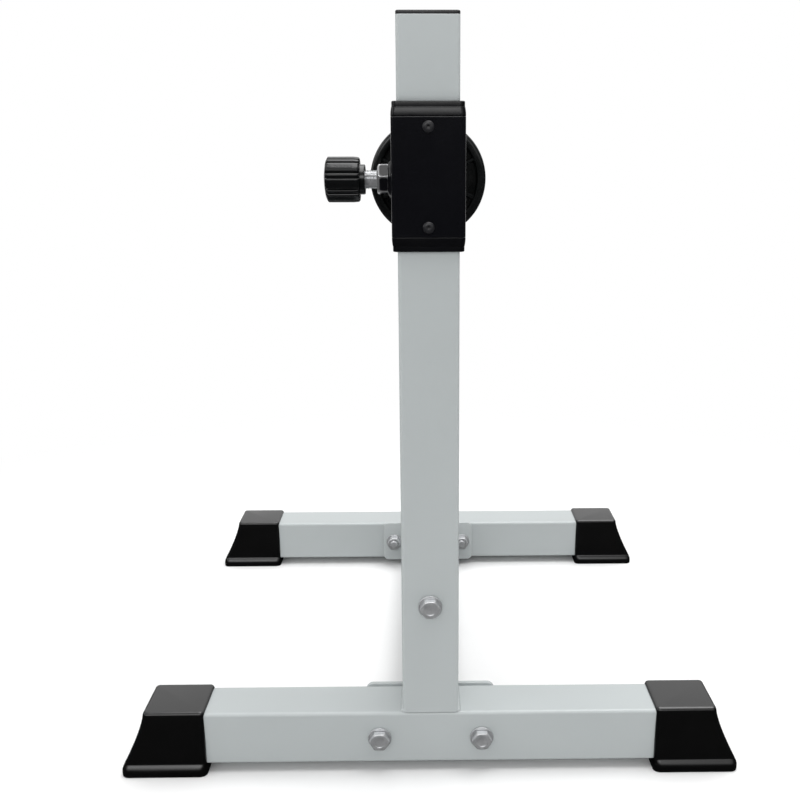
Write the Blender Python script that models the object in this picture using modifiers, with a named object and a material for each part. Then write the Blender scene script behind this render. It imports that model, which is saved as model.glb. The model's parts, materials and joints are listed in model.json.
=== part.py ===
"""A single leg squat stand: a padded roller on a sleeve that slides up and down one upright.

The upright stands on the front foot of an H-shaped base. A beam joins the two feet, and a short
brace ties the upright to the beam. The sleeve is set by a pull pin on its left side, and the
roller turns on an axle that leaves the sleeve's back and runs over the beam.

X runs across the feet, +Y runs from the upright to the rear foot, and Z is up. The origin is on
the floor, at the middle of the base. All lengths are in metres.
"""

import math

import bmesh
import bpy
from mathutils import Matrix, Vector

# Clearances
FIT_GAP = 0.0003  # between pieces that touch

# Square steel tube of the feet, the beam and the upright
TUBE_WIDTH = 0.060
TUBE_WALL = 0.002
TUBE_CORNER = 0.0035

# Base
FOOT_SPACING = 0.594  # from the middle of one foot to the middle of the other
FOOT_TUBE_LENGTH = 0.610
SOLE_THICKNESS = 0.011  # rubber under the foot tubes

# Rubber boots on the feet
BOOT_SIDE = 0.0022  # walls beside the tube, over it and at its end
BOOT_ROOF = 0.0030
BOOT_END = 0.0049
BOOT_GRIP = 0.0605  # how far a boot reaches along its tube
BOOT_EDGE = 0.004  # rounding of the upper edges
BOOT_FLARE = 0.0225  # how far the outer end runs out between its top and its lip
BOOT_FLARE_POWER = 1.3
BOOT_SIDE_FLARE = 0.0030
BOOT_LIP_HEIGHT = 0.0145
BOOT_LIP = 0.0033  # how far the lip stands out from the sides
BOOT_LIP_INNER = 0.0006  # and from the end that faces the middle
BOOT_LIP_OUTER = 0.0030  # and from the flared end
BOOT_CORNER = 0.005
BOOT_FLARE_STEPS = 5

# Upright
UPRIGHT_LENGTH = 0.7102
HOLE_PITCH = 0.050
HOLES_ABOVE = 1  # settings above the one at rest
HOLES_BELOW = 6  # settings below it
PLUG_FLANGE = 0.0032
PLUG_DEPTH = 0.018
PLUG_WALL = 0.002

# Plates that join the beam to the feet
PLATE_WIDTH = 0.145
PLATE_HEIGHT = 0.064
PLATE_THICKNESS = 0.005
PLATE_CORNER = 0.008

# Brace between the upright and the beam
BRACE_TUBE_WIDTH = 0.040
BRACE_TUBE_WALL = 0.002
BRACE_TUBE_CORNER = 0.003
BRACE_SLOPE = math.radians(45)
BRACE_MEETS = 0.134  # height where the brace's middle line reaches its plate
BRACE_PLATE_WIDTH = 0.056
BRACE_PLATE_BOTTOM = 0.098
BRACE_PLATE_TOP = 0.214
BRACE_BOLT_HEIGHT = 0.195

# Bolts, nuts and washers
BOLT_SPACING = 0.111  # between the two bolts of a foot
BOLT_DIAMETER = 0.012
BOLT_HOLE = 0.0126
BOLT_END = 0.004  # thread beyond the nut
HEAD_FLATS = 0.019
HEAD_HEIGHT = 0.0075
NUT_HEIGHT = 0.010
WASHER_DIAMETER = 0.025
WASHER_THICKNESS = 0.0025

# Sleeve, with a plastic liner at each end
SETTING_HEIGHT = 0.633  # of the pull pin and of the roller's axle, at rest
SLEEVE_WIDTH = 0.071
SLEEVE_WALL = 0.002
SLEEVE_CORNER = 0.005
SLEEVE_ABOVE = 0.0580  # steel above the pin
SLEEVE_BELOW = 0.0537  # steel below the pin
LINER_DEPTH = 0.040
COLLAR_HEIGHT = 0.0137  # of a liner's outer end
COLLAR_SHOULDER = 0.0082  # height over which the collar draws in from the sleeve's width
COLLAR_DRAW = 0.0008  # how far it draws in
COLLAR_STEP = 0.0002  # from the shoulder to the lip
COLLAR_ROUND = 0.0018
LINER_SCREW_INSET = 0.0093  # from the steel's edge to the screw
SCREW_DIAMETER = 0.005
SCREW_HEAD_DIAMETER = 0.0112
SCREW_HEAD_HEIGHT = 0.0024

# Pull pin
PIN_DIAMETER = 0.012
PIN_HOLE = 0.013
PIN_ROD = 0.008
PIN_NOSE_LENGTH = 0.0143
PIN_TRAVEL = 0.0115
BARREL_DIAMETER = 0.018
BARREL_BORE = 0.013
BARREL_SHOWS = 0.0119  # bright length between the nut and the knob
BARREL_IN_KNOB = 0.0014
BARREL_END_WALL = 0.004
BOSS_FLATS = 0.027
BOSS_LENGTH = 0.0139
BOSS_TURN = math.radians(11)  # of the nut about the pin
SPRING_WIRE = 0.0012
SPRING_TURNS = 5
KNOB_DIAMETER = 0.044
KNOB_LENGTH = 0.0399
KNOB_SHOULDER_DIAMETER = 0.0288
KNOB_SHOULDER_LENGTH = 0.0052
KNOB_DOME = 0.0038
KNOB_FLUTES = 8
KNOB_FLUTE_DEPTH = 0.0024
KNOB_TURN = math.radians(32)  # of the flutes about the pin
KNOB_ROD_SOCKET = 0.012

# Axle
AXLE_FLANGE_WIDTH = 0.060
AXLE_FLANGE_HEIGHT = 0.090
AXLE_FLANGE_THICKNESS = 0.005
AXLE_DIAMETER = 0.025
AXLE_WALL = 0.0025
AXLE_END_LENGTH = 0.020  # solid end that takes the end bolt
THRUST_WASHER_DIAMETER = 0.040
THRUST_WASHER_THICKNESS = 0.002
END_WASHER_DIAMETER = 0.036
END_WASHER_THICKNESS = 0.003
END_BOLT_DIAMETER = 0.010
END_BOLT_HOLE = 0.0106
END_BOLT_LENGTH = 0.018
END_BOLT_FLATS = 0.017
END_BOLT_HEAD = 0.0064

# Roller
ROLLER_LENGTH = 0.400
ROLLER_DIAMETER = 0.118  # over the end caps
FOAM_DIAMETER = 0.115
FOAM_EDGE = 0.003
CORE_DIAMETER = 0.048
CORE_WALL = 0.002
CAP_RIM_WIDTH = 0.009
CAP_RIM_DEPTH = 0.008
CAP_RECESS = 0.005
CAP_HUB_DIAMETER = 0.048
CAP_PLUG_LENGTH = 0.024
CAP_RIBS = 8
CAP_RIB_THICKNESS = 0.003
BUSH_DIAMETER = 0.0316
BUSH_BORE_GAP = 0.0003
BUSH_LENGTH = 0.030

# Facets of round shapes
TUBE_CORNER_STEPS = 3
BOLT_STEPS = 12
SHOULDER_STEPS = 3
PIN_STEPS = 16
AXLE_STEPS = 24
ROLLER_STEPS = 40
FLUTE_STEPS = 6

# Places that follow from the sizes
TUBE_HALF = TUBE_WIDTH / 2
FRONT_Y = -FOOT_SPACING / 2
REAR_Y = FOOT_SPACING / 2
FOOT_Z = SOLE_THICKNESS + TUBE_HALF
TUBE_TOP = SOLE_THICKNESS + TUBE_WIDTH
UPRIGHT_BOTTOM = TUBE_TOP + FIT_GAP
UPRIGHT_TOP = UPRIGHT_BOTTOM + UPRIGHT_LENGTH
FRONT_PLATE_Y = FRONT_Y + TUBE_HALF + FIT_GAP + PLATE_THICKNESS / 2
REAR_PLATE_Y = REAR_Y - TUBE_HALF - FIT_GAP - PLATE_THICKNESS / 2
BEAM_START = FRONT_PLATE_Y + PLATE_THICKNESS / 2 + FIT_GAP
BEAM_END = REAR_PLATE_Y - PLATE_THICKNESS / 2 - FIT_GAP
SLEEVE_HALF = SLEEVE_WIDTH / 2
SLEEVE_TOP = SETTING_HEIGHT + SLEEVE_ABOVE
SLEEVE_BOTTOM = SETTING_HEIGHT - SLEEVE_BELOW
SLEEVE_FRONT = FRONT_Y - SLEEVE_HALF
SLEEVE_BACK = FRONT_Y + SLEEVE_HALF
SLEEVE_LEFT = -SLEEVE_HALF
BOSS_START = SLEEVE_LEFT - FIT_GAP
BOSS_END = BOSS_START - BOSS_LENGTH
BARREL_END = BOSS_END - BARREL_SHOWS - BARREL_IN_KNOB
KNOB_START = BOSS_END - BARREL_SHOWS
PIN_TIP = -TUBE_HALF - 2 * FIT_GAP
FLANGE_START = SLEEVE_BACK + FIT_GAP
AXLE_START = FLANGE_START + AXLE_FLANGE_THICKNESS + FIT_GAP
ROLLER_START = AXLE_START + THRUST_WASHER_THICKNESS + FIT_GAP
ROLLER_END = ROLLER_START + ROLLER_LENGTH
AXLE_END = ROLLER_END + FIT_GAP

LOOKS = {
    "grey_paint": ((0.45, 0.47, 0.48), 0.38, 0.0),
    "black_paint": ((0.012, 0.012, 0.014), 0.28, 0.0),
    "boot_rubber": ((0.015, 0.015, 0.016), 0.62, 0.0),
    "black_plastic": ((0.014, 0.014, 0.015), 0.30, 0.0),
    "nylon": ((0.02, 0.02, 0.021), 0.45, 0.0),
    "zinc": ((0.55, 0.56, 0.58), 0.32, 1.0),
    "chrome": ((0.80, 0.80, 0.82), 0.10, 1.0),
    "foam": ((0.018, 0.018, 0.019), 0.80, 0.0),
}

AXIS_TURNS = {
    "X": (math.radians(90), 0.0, math.radians(90)),
    "Y": (math.radians(90), 0.0, 0.0),
    "Z": (0.0, 0.0, 0.0),
}


def clear_scene():
    for old in list(bpy.data.objects):
        bpy.data.objects.remove(old)


def new_collection(name):
    made = bpy.data.collections.new(name)
    bpy.context.scene.collection.children.link(made)
    return made


clear_scene()
PARTS = new_collection("single_leg_squat_stand")
CUTTERS = new_collection("cutters")


def new_group(name, at):
    """An empty that carries one moving body, at a point of its joint's axis."""
    empty = bpy.data.objects.new(name, None)
    PARTS.objects.link(empty)
    empty.location = at
    return empty


FRAME = new_group("frame_group", (0, 0, 0))
SLEEVE = new_group("sleeve_group", (0, FRONT_Y, SETTING_HEIGHT))
PULL_PIN = new_group("pull_pin_group", (SLEEVE_LEFT, FRONT_Y, SETTING_HEIGHT))
ROLLER = new_group("roller_group", (0, ROLLER_START, SETTING_HEIGHT))


def look(name):
    """The Principled material of one finish, made once."""
    found = bpy.data.materials.get(name)
    if found:
        return found
    colour, roughness, metallic = LOOKS[name]
    made = bpy.data.materials.new(name)
    made.use_nodes = True
    shader = made.node_tree.nodes["Principled BSDF"]
    shader.inputs["Base Color"].default_value = (*colour, 1.0)
    shader.inputs["Roughness"].default_value = roughness
    shader.inputs["Metallic"].default_value = metallic
    return made


def put(name, mesh, finish, group, at, axis="Z", spin=0.0):
    """A named part of one body, with its mesh's Z laid along an axis and its origin at a point."""
    part = bpy.data.objects.new(name, mesh)
    PARTS.objects.link(part)
    part.data.materials.clear()
    part.data.materials.append(look(finish))
    part.parent = group
    part.location = Vector(at) - group.location
    turn = Matrix.Rotation(spin, 4, "Z")
    part.rotation_euler = (turn @ rotation_of(axis)).to_euler()
    return part


def rotation_of(axis):
    x, y, z = AXIS_TURNS[axis]
    return Matrix.Rotation(z, 4, "Z") @ Matrix.Rotation(y, 4, "Y") @ Matrix.Rotation(x, 4, "X")


def baked(thing):
    """The evaluated mesh of a working object, which is removed."""
    bpy.context.view_layer.update()
    depsgraph = bpy.context.evaluated_depsgraph_get()
    mesh = bpy.data.meshes.new_from_object(thing.evaluated_get(depsgraph))
    bpy.data.objects.remove(thing)
    return mesh


def smooth(mesh):
    mesh.shade_smooth()
    mesh.set_sharp_from_angle(angle=math.radians(32))
    return mesh


def cleaned(mesh):
    """The mesh with doubled points merged and its faces pointing out."""
    work = bmesh.new()
    work.from_mesh(mesh)
    bmesh.ops.remove_doubles(work, verts=work.verts, dist=1e-6)
    bmesh.ops.recalc_face_normals(work, faces=work.faces)
    work.to_mesh(mesh)
    work.free()
    return smooth(mesh)


def cut(part, mesh, at, axis="Z", operation="DIFFERENCE"):
    """Takes a shape away from a part, or joins it on, with a guide that stays in the cutters."""
    guide = bpy.data.objects.new(part.name + "_guide", mesh)
    CUTTERS.objects.link(guide)
    guide.hide_render = True
    guide.display_type = "WIRE"
    guide.location = at
    guide.rotation_euler = rotation_of(axis).to_euler()
    step = part.modifiers.new("cut", "BOOLEAN")
    step.operation = operation
    step.object = guide
    return part


def rod(radius, length, steps=PIN_STEPS):
    """A cylinder along Z about its own middle."""
    mesh = bpy.data.meshes.new("rod")
    work = bmesh.new()
    bmesh.ops.create_cone(
        work, cap_ends=True, segments=steps, radius1=radius, radius2=radius, depth=length
    )
    work.to_mesh(mesh)
    work.free()
    return smooth(mesh)


def block(size_x, size_y, size_z):
    """A plain box about its own middle."""
    mesh = bpy.data.meshes.new("block")
    work = bmesh.new()
    bmesh.ops.create_cube(work, size=1.0, matrix=Matrix.Diagonal((size_x, size_y, size_z, 1.0)))
    work.to_mesh(mesh)
    work.free()
    return mesh


def rounded_rectangle(half_x, half_y, corner, steps=TUBE_CORNER_STEPS):
    """Points round a rectangle with round corners, anticlockwise from the +X side."""
    points = []
    for quarter, (sign_x, sign_y) in enumerate(((1, 1), (-1, 1), (-1, -1), (1, -1))):
        centre_x = sign_x * (half_x - corner)
        centre_y = sign_y * (half_y - corner)
        for step in range(steps + 1):
            angle = math.radians(90) * (quarter + step / steps)
            points.append((centre_x + corner * math.cos(angle), centre_y + corner * math.sin(angle)))
    return points


def polygon(radius, sides, start=0.0):
    turn = 2 * math.pi / sides
    return [
        (radius * math.cos(start + turn * i), radius * math.sin(start + turn * i))
        for i in range(sides)
    ]


def hexagon(across_flats):
    return polygon(across_flats / 2 / math.cos(math.radians(30)), 6)


def extruded(loops, length):
    """A flat outline, with any holes as further loops, drawn out along Z about its middle."""
    curve = bpy.data.curves.new("outline", "CURVE")
    curve.dimensions = "2D"
    curve.fill_mode = "BOTH"
    curve.extrude = length / 2
    for loop in loops:
        spline = curve.splines.new("POLY")
        spline.points.add(len(loop) - 1)
        for point, (x, y) in zip(spline.points, loop):
            point.co = (x, y, 0, 1)
        spline.use_cyclic_u = True
    outline = bpy.data.objects.new("outline", curve)
    bpy.context.scene.collection.objects.link(outline)
    return cleaned(baked(outline))


def turned(profile, steps, closed=True):
    """A turned shape about Z. The profile is (radius, height) and runs down its outer side."""
    mesh = bpy.data.meshes.new("profile")
    points = [(radius, 0, height) for radius, height in profile]
    edges = [(i, i + 1) for i in range(len(points) - 1)]
    if closed:
        edges.append((len(points) - 1, 0))
    mesh.from_pydata(points, edges, [])
    shape = bpy.data.objects.new("profile", mesh)
    bpy.context.scene.collection.objects.link(shape)
    screw = shape.modifiers.new("turn", "SCREW")
    screw.axis = "Z"
    screw.angle = math.radians(360)
    screw.steps = steps
    screw.render_steps = steps
    screw.use_merge_vertices = True
    screw.merge_threshold = 1e-5
    return smooth(baked(shape))


def loft(rings, wrapped=False):
    """A skin through rings of as many points each. It has end caps, or wraps round to its start."""
    mesh = bpy.data.meshes.new("loft")
    work = bmesh.new()
    rows = [[work.verts.new(point) for point in ring] for ring in rings]
    pairs = list(zip(rows, rows[1:]))
    if wrapped:
        pairs.append((rows[-1], rows[0]))
    else:
        work.faces.new(rows[0])
        work.faces.new(rows[-1])
    for lower, upper in pairs:
        for i in range(len(lower)):
            after = (i + 1) % len(lower)
            work.faces.new((lower[i], lower[after], upper[after], upper[i]))
    bmesh.ops.recalc_face_normals(work, faces=work.faces)
    work.to_mesh(mesh)
    work.free()
    return smooth(mesh)


def square_ring(half, corner, height):
    """One level of a square loft."""
    return [(x, y, height) for x, y in rounded_rectangle(half, half, corner)]


def tube(width, wall, corner, length):
    """Square tube along Z about its own middle."""
    outer = rounded_rectangle(width / 2, width / 2, corner)
    inner_corner = max(corner - wall, corner / 4)
    inner = rounded_rectangle(width / 2 - wall, width / 2 - wall, inner_corner)
    return extruded([outer, inner], length)


def washer(diameter, bore, thickness, steps=BOLT_STEPS):
    """A ring along Z, from its own underside."""
    outer = diameter / 2
    inner = bore / 2
    profile = [(outer, thickness), (outer, 0), (inner, 0), (inner, thickness)]
    return turned(profile, steps)


def make_feet():
    """The two foot tubes, with a pair of bolt holes through each."""
    for name, y in (("front_foot_tube", FRONT_Y), ("rear_foot_tube", REAR_Y)):
        mesh = tube(TUBE_WIDTH, TUBE_WALL, TUBE_CORNER, FOOT_TUBE_LENGTH)
        foot = put(name, mesh, "grey_paint", FRAME, (0, y, FOOT_Z), "X")
        for x in (-BOLT_SPACING / 2, BOLT_SPACING / 2):
            cut(foot, rod(BOLT_HOLE / 2, 2 * TUBE_WIDTH, BOLT_STEPS), (x, y, FOOT_Z), "Y")


def boot_level(height, inner, outer, half_depth, corner):
    """One level of a boot on the +X side, as a ring of points about the tube's end."""
    middle = (inner + outer) / 2
    half_length = (outer - inner) / 2
    outline = rounded_rectangle(half_length, half_depth, corner)
    return [(middle + x, y, height) for x, y in outline]


def boot_mesh():
    """A boot for the +X end: straight round the tube, flared at its outer end, with a lip."""
    inner = FOOT_TUBE_LENGTH / 2 - BOOT_GRIP
    outer = FOOT_TUBE_LENGTH / 2 + FIT_GAP + BOOT_END + BOOT_EDGE / 4
    half = TUBE_HALF + FIT_GAP + BOOT_SIDE
    top = TUBE_TOP + FIT_GAP + BOOT_ROOF
    shoulder = top - BOOT_EDGE
    levels = [
        boot_level(top, inner + BOOT_EDGE, outer - BOOT_EDGE, half - BOOT_EDGE, BOOT_CORNER / 2),
        boot_level(
            top - BOOT_EDGE * 0.3,
            inner + BOOT_EDGE * 0.3,
            outer - BOOT_EDGE * 0.3,
            half - BOOT_EDGE * 0.3,
            BOOT_CORNER * 0.8,
        ),
    ]
    for step in range(BOOT_FLARE_STEPS + 1):
        share = step / BOOT_FLARE_STEPS
        height = shoulder + (BOOT_LIP_HEIGHT - shoulder) * share
        run_out = BOOT_FLARE * share**BOOT_FLARE_POWER
        depth = half + BOOT_SIDE_FLARE * share
        levels.append(boot_level(height, inner, outer + run_out, depth, BOOT_CORNER))
    side = half + BOOT_SIDE_FLARE
    end = outer + BOOT_FLARE
    for height_share, stand_out in ((0.72, 0.85), (0.6, 1.0), (0.12, 1.0), (0.0, 0.7)):
        levels.append(
            boot_level(
                BOOT_LIP_HEIGHT * height_share,
                inner - BOOT_LIP_INNER * stand_out,
                end + BOOT_LIP_OUTER * stand_out,
                side + BOOT_LIP * stand_out,
                BOOT_CORNER + BOOT_LIP * stand_out,
            )
        )
    return loft(levels)


def make_boots():
    """Four boots, each with a socket for its tube."""
    socket_half = TUBE_HALF + FIT_GAP
    socket = rounded_rectangle(socket_half, socket_half, TUBE_CORNER)
    depth = 2 * BOOT_GRIP + 2 * FIT_GAP
    for row, y in (("front", FRONT_Y), ("rear", REAR_Y)):
        for side, sign in (("left", -1), ("right", 1)):
            spin = 0.0 if sign > 0 else math.pi
            name = f"{row}_{side}_boot"
            boot = put(name, boot_mesh(), "boot_rubber", FRAME, (0, y, 0), "Z", spin)
            middle = sign * (FOOT_TUBE_LENGTH / 2 - BOOT_GRIP)
            cut(boot, extruded([socket], depth), (middle, y, FOOT_Z), "X")


def make_upright():
    """The upright, with its brace bolt hole and a row of setting holes on the left side."""
    middle = (UPRIGHT_BOTTOM + UPRIGHT_TOP) / 2
    mesh = tube(TUBE_WIDTH, TUBE_WALL, TUBE_CORNER, UPRIGHT_LENGTH)
    upright = put("upright_tube", mesh, "grey_paint", FRAME, (0, FRONT_Y, middle))
    bolt_hole = rod(BOLT_HOLE / 2, 2 * TUBE_WIDTH, BOLT_STEPS)
    cut(upright, bolt_hole, (0, FRONT_Y, BRACE_BOLT_HEIGHT), "Y")
    for setting in range(-HOLES_BELOW, HOLES_ABOVE + 1):
        height = SETTING_HEIGHT + setting * HOLE_PITCH
        cut(upright, rod(PIN_HOLE / 2, TUBE_HALF, BOLT_STEPS), (-TUBE_HALF, FRONT_Y, height), "X")


def make_plug():
    """The plastic plug in the top of the upright, open underneath."""
    bore = TUBE_HALF - TUBE_WALL - FIT_GAP
    seat = UPRIGHT_TOP + FIT_GAP
    top = seat + PLUG_FLANGE
    edge = PLUG_FLANGE / 3
    corner = TUBE_CORNER / 2
    rings = [
        square_ring(bore - PLUG_WALL, corner, seat),
        square_ring(bore - PLUG_WALL, corner, UPRIGHT_TOP - PLUG_DEPTH),
        square_ring(bore, corner, UPRIGHT_TOP - PLUG_DEPTH),
        square_ring(bore, corner, seat),
        square_ring(TUBE_HALF, TUBE_CORNER, seat),
        square_ring(TUBE_HALF, TUBE_CORNER, top - edge),
        square_ring(TUBE_HALF - edge, TUBE_CORNER, top),
    ]
    put("upright_top_plug", loft(rings), "black_plastic", FRAME, (0, FRONT_Y, 0))


def make_beam():
    """The beam between the feet, with a bolted plate at each end."""
    length = BEAM_END - BEAM_START
    middle = (BEAM_START + BEAM_END) / 2
    mesh = tube(TUBE_WIDTH, TUBE_WALL, TUBE_CORNER, length)
    put("main_beam_tube", mesh, "grey_paint", FRAME, (0, middle, FOOT_Z), "Y")
    outline = rounded_rectangle(PLATE_WIDTH / 2, PLATE_HEIGHT / 2, PLATE_CORNER)
    for name, y in (("beam_front_plate", FRONT_PLATE_Y), ("beam_rear_plate", REAR_PLATE_Y)):
        mesh = extruded([outline], PLATE_THICKNESS)
        plate = put(name, mesh, "grey_paint", FRAME, (0, y, FOOT_Z), "Y")
        for x in (-BOLT_SPACING / 2, BOLT_SPACING / 2):
            cut(plate, rod(BOLT_HOLE / 2, 4 * PLATE_THICKNESS, BOLT_STEPS), (x, y, FOOT_Z), "Y")


def make_brace():
    """A short sloping tube from the beam to a plate that is bolted to the upright."""
    plate_y = FRONT_Y + TUBE_HALF + FIT_GAP + PLATE_THICKNESS / 2
    plate_height = BRACE_PLATE_TOP - BRACE_PLATE_BOTTOM
    plate_z = (BRACE_PLATE_TOP + BRACE_PLATE_BOTTOM) / 2
    outline = rounded_rectangle(BRACE_PLATE_WIDTH / 2, plate_height / 2, PLATE_CORNER)
    mesh = extruded([outline], PLATE_THICKNESS)
    plate = put("brace_plate", mesh, "grey_paint", FRAME, (0, plate_y, plate_z), "Y")
    bolt_hole = rod(BOLT_HOLE / 2, 4 * PLATE_THICKNESS, BOLT_STEPS)
    cut(plate, bolt_hole, (0, plate_y, BRACE_BOLT_HEIGHT), "Y")

    start_y = plate_y + PLATE_THICKNESS / 2 + FIT_GAP
    beam_top = TUBE_TOP + FIT_GAP
    drop = BRACE_MEETS - beam_top
    end_y = start_y + drop / math.tan(BRACE_SLOPE)
    span = math.hypot(end_y - start_y, drop)
    uncut = span + 3 * BRACE_TUBE_WIDTH
    mesh = tube(BRACE_TUBE_WIDTH, BRACE_TUBE_WALL, BRACE_TUBE_CORNER, uncut)
    middle = (0, (start_y + end_y) / 2, (BRACE_MEETS + beam_top) / 2)
    brace = put("brace_tube", mesh, "grey_paint", FRAME, middle)
    brace.rotation_euler = (math.pi / 2 - BRACE_SLOPE, 0, 0)
    reach = 2 * uncut
    cut(brace, block(reach, reach, reach), (0, start_y - reach / 2, BRACE_MEETS))
    cut(brace, block(reach, reach, reach), (0, start_y, beam_top - reach / 2))


def hex_bolt(diameter, flats, head, length, steps):
    """A hex bolt along Z: the head is below 0, and the shank runs up from 0."""
    mesh = extruded([hexagon(flats)], head)
    bolt = bpy.data.objects.new("bolt", mesh)
    bpy.context.scene.collection.objects.link(bolt)
    bolt.location = (0, 0, -head / 2)
    shank = length + head / 2
    cut(bolt, rod(diameter / 2, shank, steps), (0, 0, length - shank / 2), "Z", "UNION")
    made = baked(bolt)
    made.transform(Matrix.Translation((0, 0, -head / 2)))
    return smooth(made)


def make_bolt_set(name, x, z, head_face, towards, grip):
    """A bolt, two washers and a nut through a stack as thick as grip, along +Y or -Y."""
    spin = math.pi if towards > 0 else 0.0
    seat = FIT_GAP + WASHER_THICKNESS
    nut_at = grip + seat + FIT_GAP
    length = FIT_GAP + seat + nut_at + NUT_HEIGHT + BOLT_END
    bolt = hex_bolt(BOLT_DIAMETER, HEAD_FLATS, HEAD_HEIGHT, length, BOLT_STEPS)
    nut = extruded([hexagon(HEAD_FLATS), polygon(BOLT_HOLE / 2, BOLT_STEPS)], NUT_HEIGHT)
    ring = washer(WASHER_DIAMETER, BOLT_HOLE, WASHER_THICKNESS)

    def along(distance):
        return (x, head_face + towards * distance, z)

    put(name + "_bolt", bolt, "zinc", FRAME, along(-seat - FIT_GAP), "Y", spin)
    put(name + "_head_washer", ring, "zinc", FRAME, along(-seat), "Y", spin)
    put(name + "_nut_washer", ring, "zinc", FRAME, along(grip + FIT_GAP), "Y", spin)
    put(name + "_nut", nut, "zinc", FRAME, along(nut_at + NUT_HEIGHT / 2), "Y", spin)


def make_bolts():
    """Two bolts through each foot and its plate, and one through the upright and the brace."""
    grip = TUBE_WIDTH + FIT_GAP + PLATE_THICKNESS
    for side, x in (("left", -BOLT_SPACING / 2), ("right", BOLT_SPACING / 2)):
        make_bolt_set(f"front_{side}", x, FOOT_Z, FRONT_Y - TUBE_HALF, 1, grip)
        make_bolt_set(f"rear_{side}", x, FOOT_Z, REAR_Y + TUBE_HALF, -1, grip)
    make_bolt_set("brace", 0, BRACE_BOLT_HEIGHT, FRONT_Y - TUBE_HALF, 1, grip)


def make_sleeve():
    """The steel sleeve, with a hole for the pin and one for each liner's screw."""
    length = SLEEVE_TOP - SLEEVE_BOTTOM
    middle = (SLEEVE_TOP + SLEEVE_BOTTOM) / 2
    mesh = tube(SLEEVE_WIDTH, SLEEVE_WALL, SLEEVE_CORNER, length)
    sleeve = put("sleeve_tube", mesh, "black_paint", SLEEVE, (0, FRONT_Y, middle))
    pin_hole = rod(PIN_HOLE / 2, 4 * SLEEVE_WALL, PIN_STEPS)
    cut(sleeve, pin_hole, (SLEEVE_LEFT, FRONT_Y, SETTING_HEIGHT), "X")
    for height in (SLEEVE_TOP - LINER_SCREW_INSET, SLEEVE_BOTTOM + LINER_SCREW_INSET):
        hole = rod(SCREW_DIAMETER / 2 + FIT_GAP, 4 * SLEEVE_WALL, BOLT_STEPS)
        cut(sleeve, hole, (0, SLEEVE_FRONT, height), "Y")


def liner_mesh():
    """A liner, with its body below 0 and its collar above: a shoulder that draws in to a lip."""
    bore = TUBE_HALF + FIT_GAP
    body = SLEEVE_HALF - SLEEVE_WALL - FIT_GAP
    low = FIT_GAP
    high = low + COLLAR_HEIGHT
    lip = COLLAR_DRAW + COLLAR_STEP
    edges = []
    for step in range(SHOULDER_STEPS + 1):
        share = step / SHOULDER_STEPS
        edges.append((COLLAR_DRAW * share**2, low + COLLAR_SHOULDER * share))
    edges += [
        (lip, low + COLLAR_SHOULDER + COLLAR_STEP),
        (lip, high - COLLAR_ROUND),
        (lip + COLLAR_ROUND * 0.3, high - COLLAR_ROUND * 0.3),
        (lip + COLLAR_ROUND, high),
    ]
    rings = [
        square_ring(bore, TUBE_CORNER, high),
        square_ring(bore, TUBE_CORNER, -LINER_DEPTH),
        square_ring(body, TUBE_CORNER, -LINER_DEPTH),
        square_ring(body, TUBE_CORNER, low),
    ]
    for inset, height in edges:
        rings.append(square_ring(SLEEVE_HALF - inset, SLEEVE_CORNER, height))
    return loft(rings, wrapped=True)


def make_liners():
    """Two alike plastic liners, one in each end of the sleeve, with a screw each."""
    ends = (("upper", SLEEVE_TOP, -1, 0.0), ("lower", SLEEVE_BOTTOM, 1, math.pi))
    for name, edge, inwards, turn in ends:
        liner = put(f"{name}_liner", liner_mesh(), "nylon", SLEEVE, (0, FRONT_Y, edge))
        liner.rotation_euler = (turn, 0, 0)
        height = edge + inwards * LINER_SCREW_INSET
        hole = rod(SCREW_DIAMETER / 2 + FIT_GAP, 2 * SLEEVE_HALF, BOLT_STEPS)
        cut(liner, hole, (0, FRONT_Y - SLEEVE_HALF, height), "Y")
        make_liner_screw(f"{name}_liner_screw", height)


def make_liner_screw(name, height):
    """A round-headed screw through the sleeve's front and into a liner."""
    head = SCREW_HEAD_DIAMETER / 2
    shank = SLEEVE_HALF - TUBE_HALF - 3 * FIT_GAP
    profile = [
        (0, SCREW_HEAD_HEIGHT),
        (head * 0.55, SCREW_HEAD_HEIGHT * 0.93),
        (head * 0.88, SCREW_HEAD_HEIGHT * 0.6),
        (head, SCREW_HEAD_HEIGHT * 0.15),
        (head, 0),
        (SCREW_DIAMETER / 2, 0),
        (SCREW_DIAMETER / 2, -shank),
        (0, -shank),
    ]
    mesh = turned(profile, BOLT_STEPS, closed=False)
    put(name, mesh, "black_paint", SLEEVE, (0, SLEEVE_FRONT - FIT_GAP, height), "Y")


def make_pin_housing():
    """The nut that is welded to the sleeve, and the threaded barrel that is screwed into it."""
    nut = extruded([hexagon(BOSS_FLATS), polygon(BARREL_DIAMETER / 2 + FIT_GAP, PIN_STEPS)], BOSS_LENGTH)
    middle = (BOSS_START + BOSS_END) / 2
    nut.transform(Matrix.Rotation(math.pi - BOSS_TURN, 4, "Z"))
    put("pin_boss_nut", nut, "black_paint", SLEEVE, (middle, FRONT_Y, SETTING_HEIGHT), "X")
    outer = BARREL_DIAMETER / 2
    bore = BARREL_BORE / 2
    rod_hole = PIN_ROD / 2 + FIT_GAP
    wall = BARREL_END + BARREL_END_WALL
    edge = BARREL_IN_KNOB / 2
    profile = [
        (outer, BOSS_START),
        (outer, BARREL_END + edge),
        (outer - edge, BARREL_END),
        (rod_hole, BARREL_END),
        (rod_hole, wall),
        (bore, wall),
        (bore, BOSS_START),
    ]
    mesh = turned(profile, PIN_STEPS)
    put("pin_barrel", mesh, "chrome", SLEEVE, (0, FRONT_Y, SETTING_HEIGHT), "X")


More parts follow.
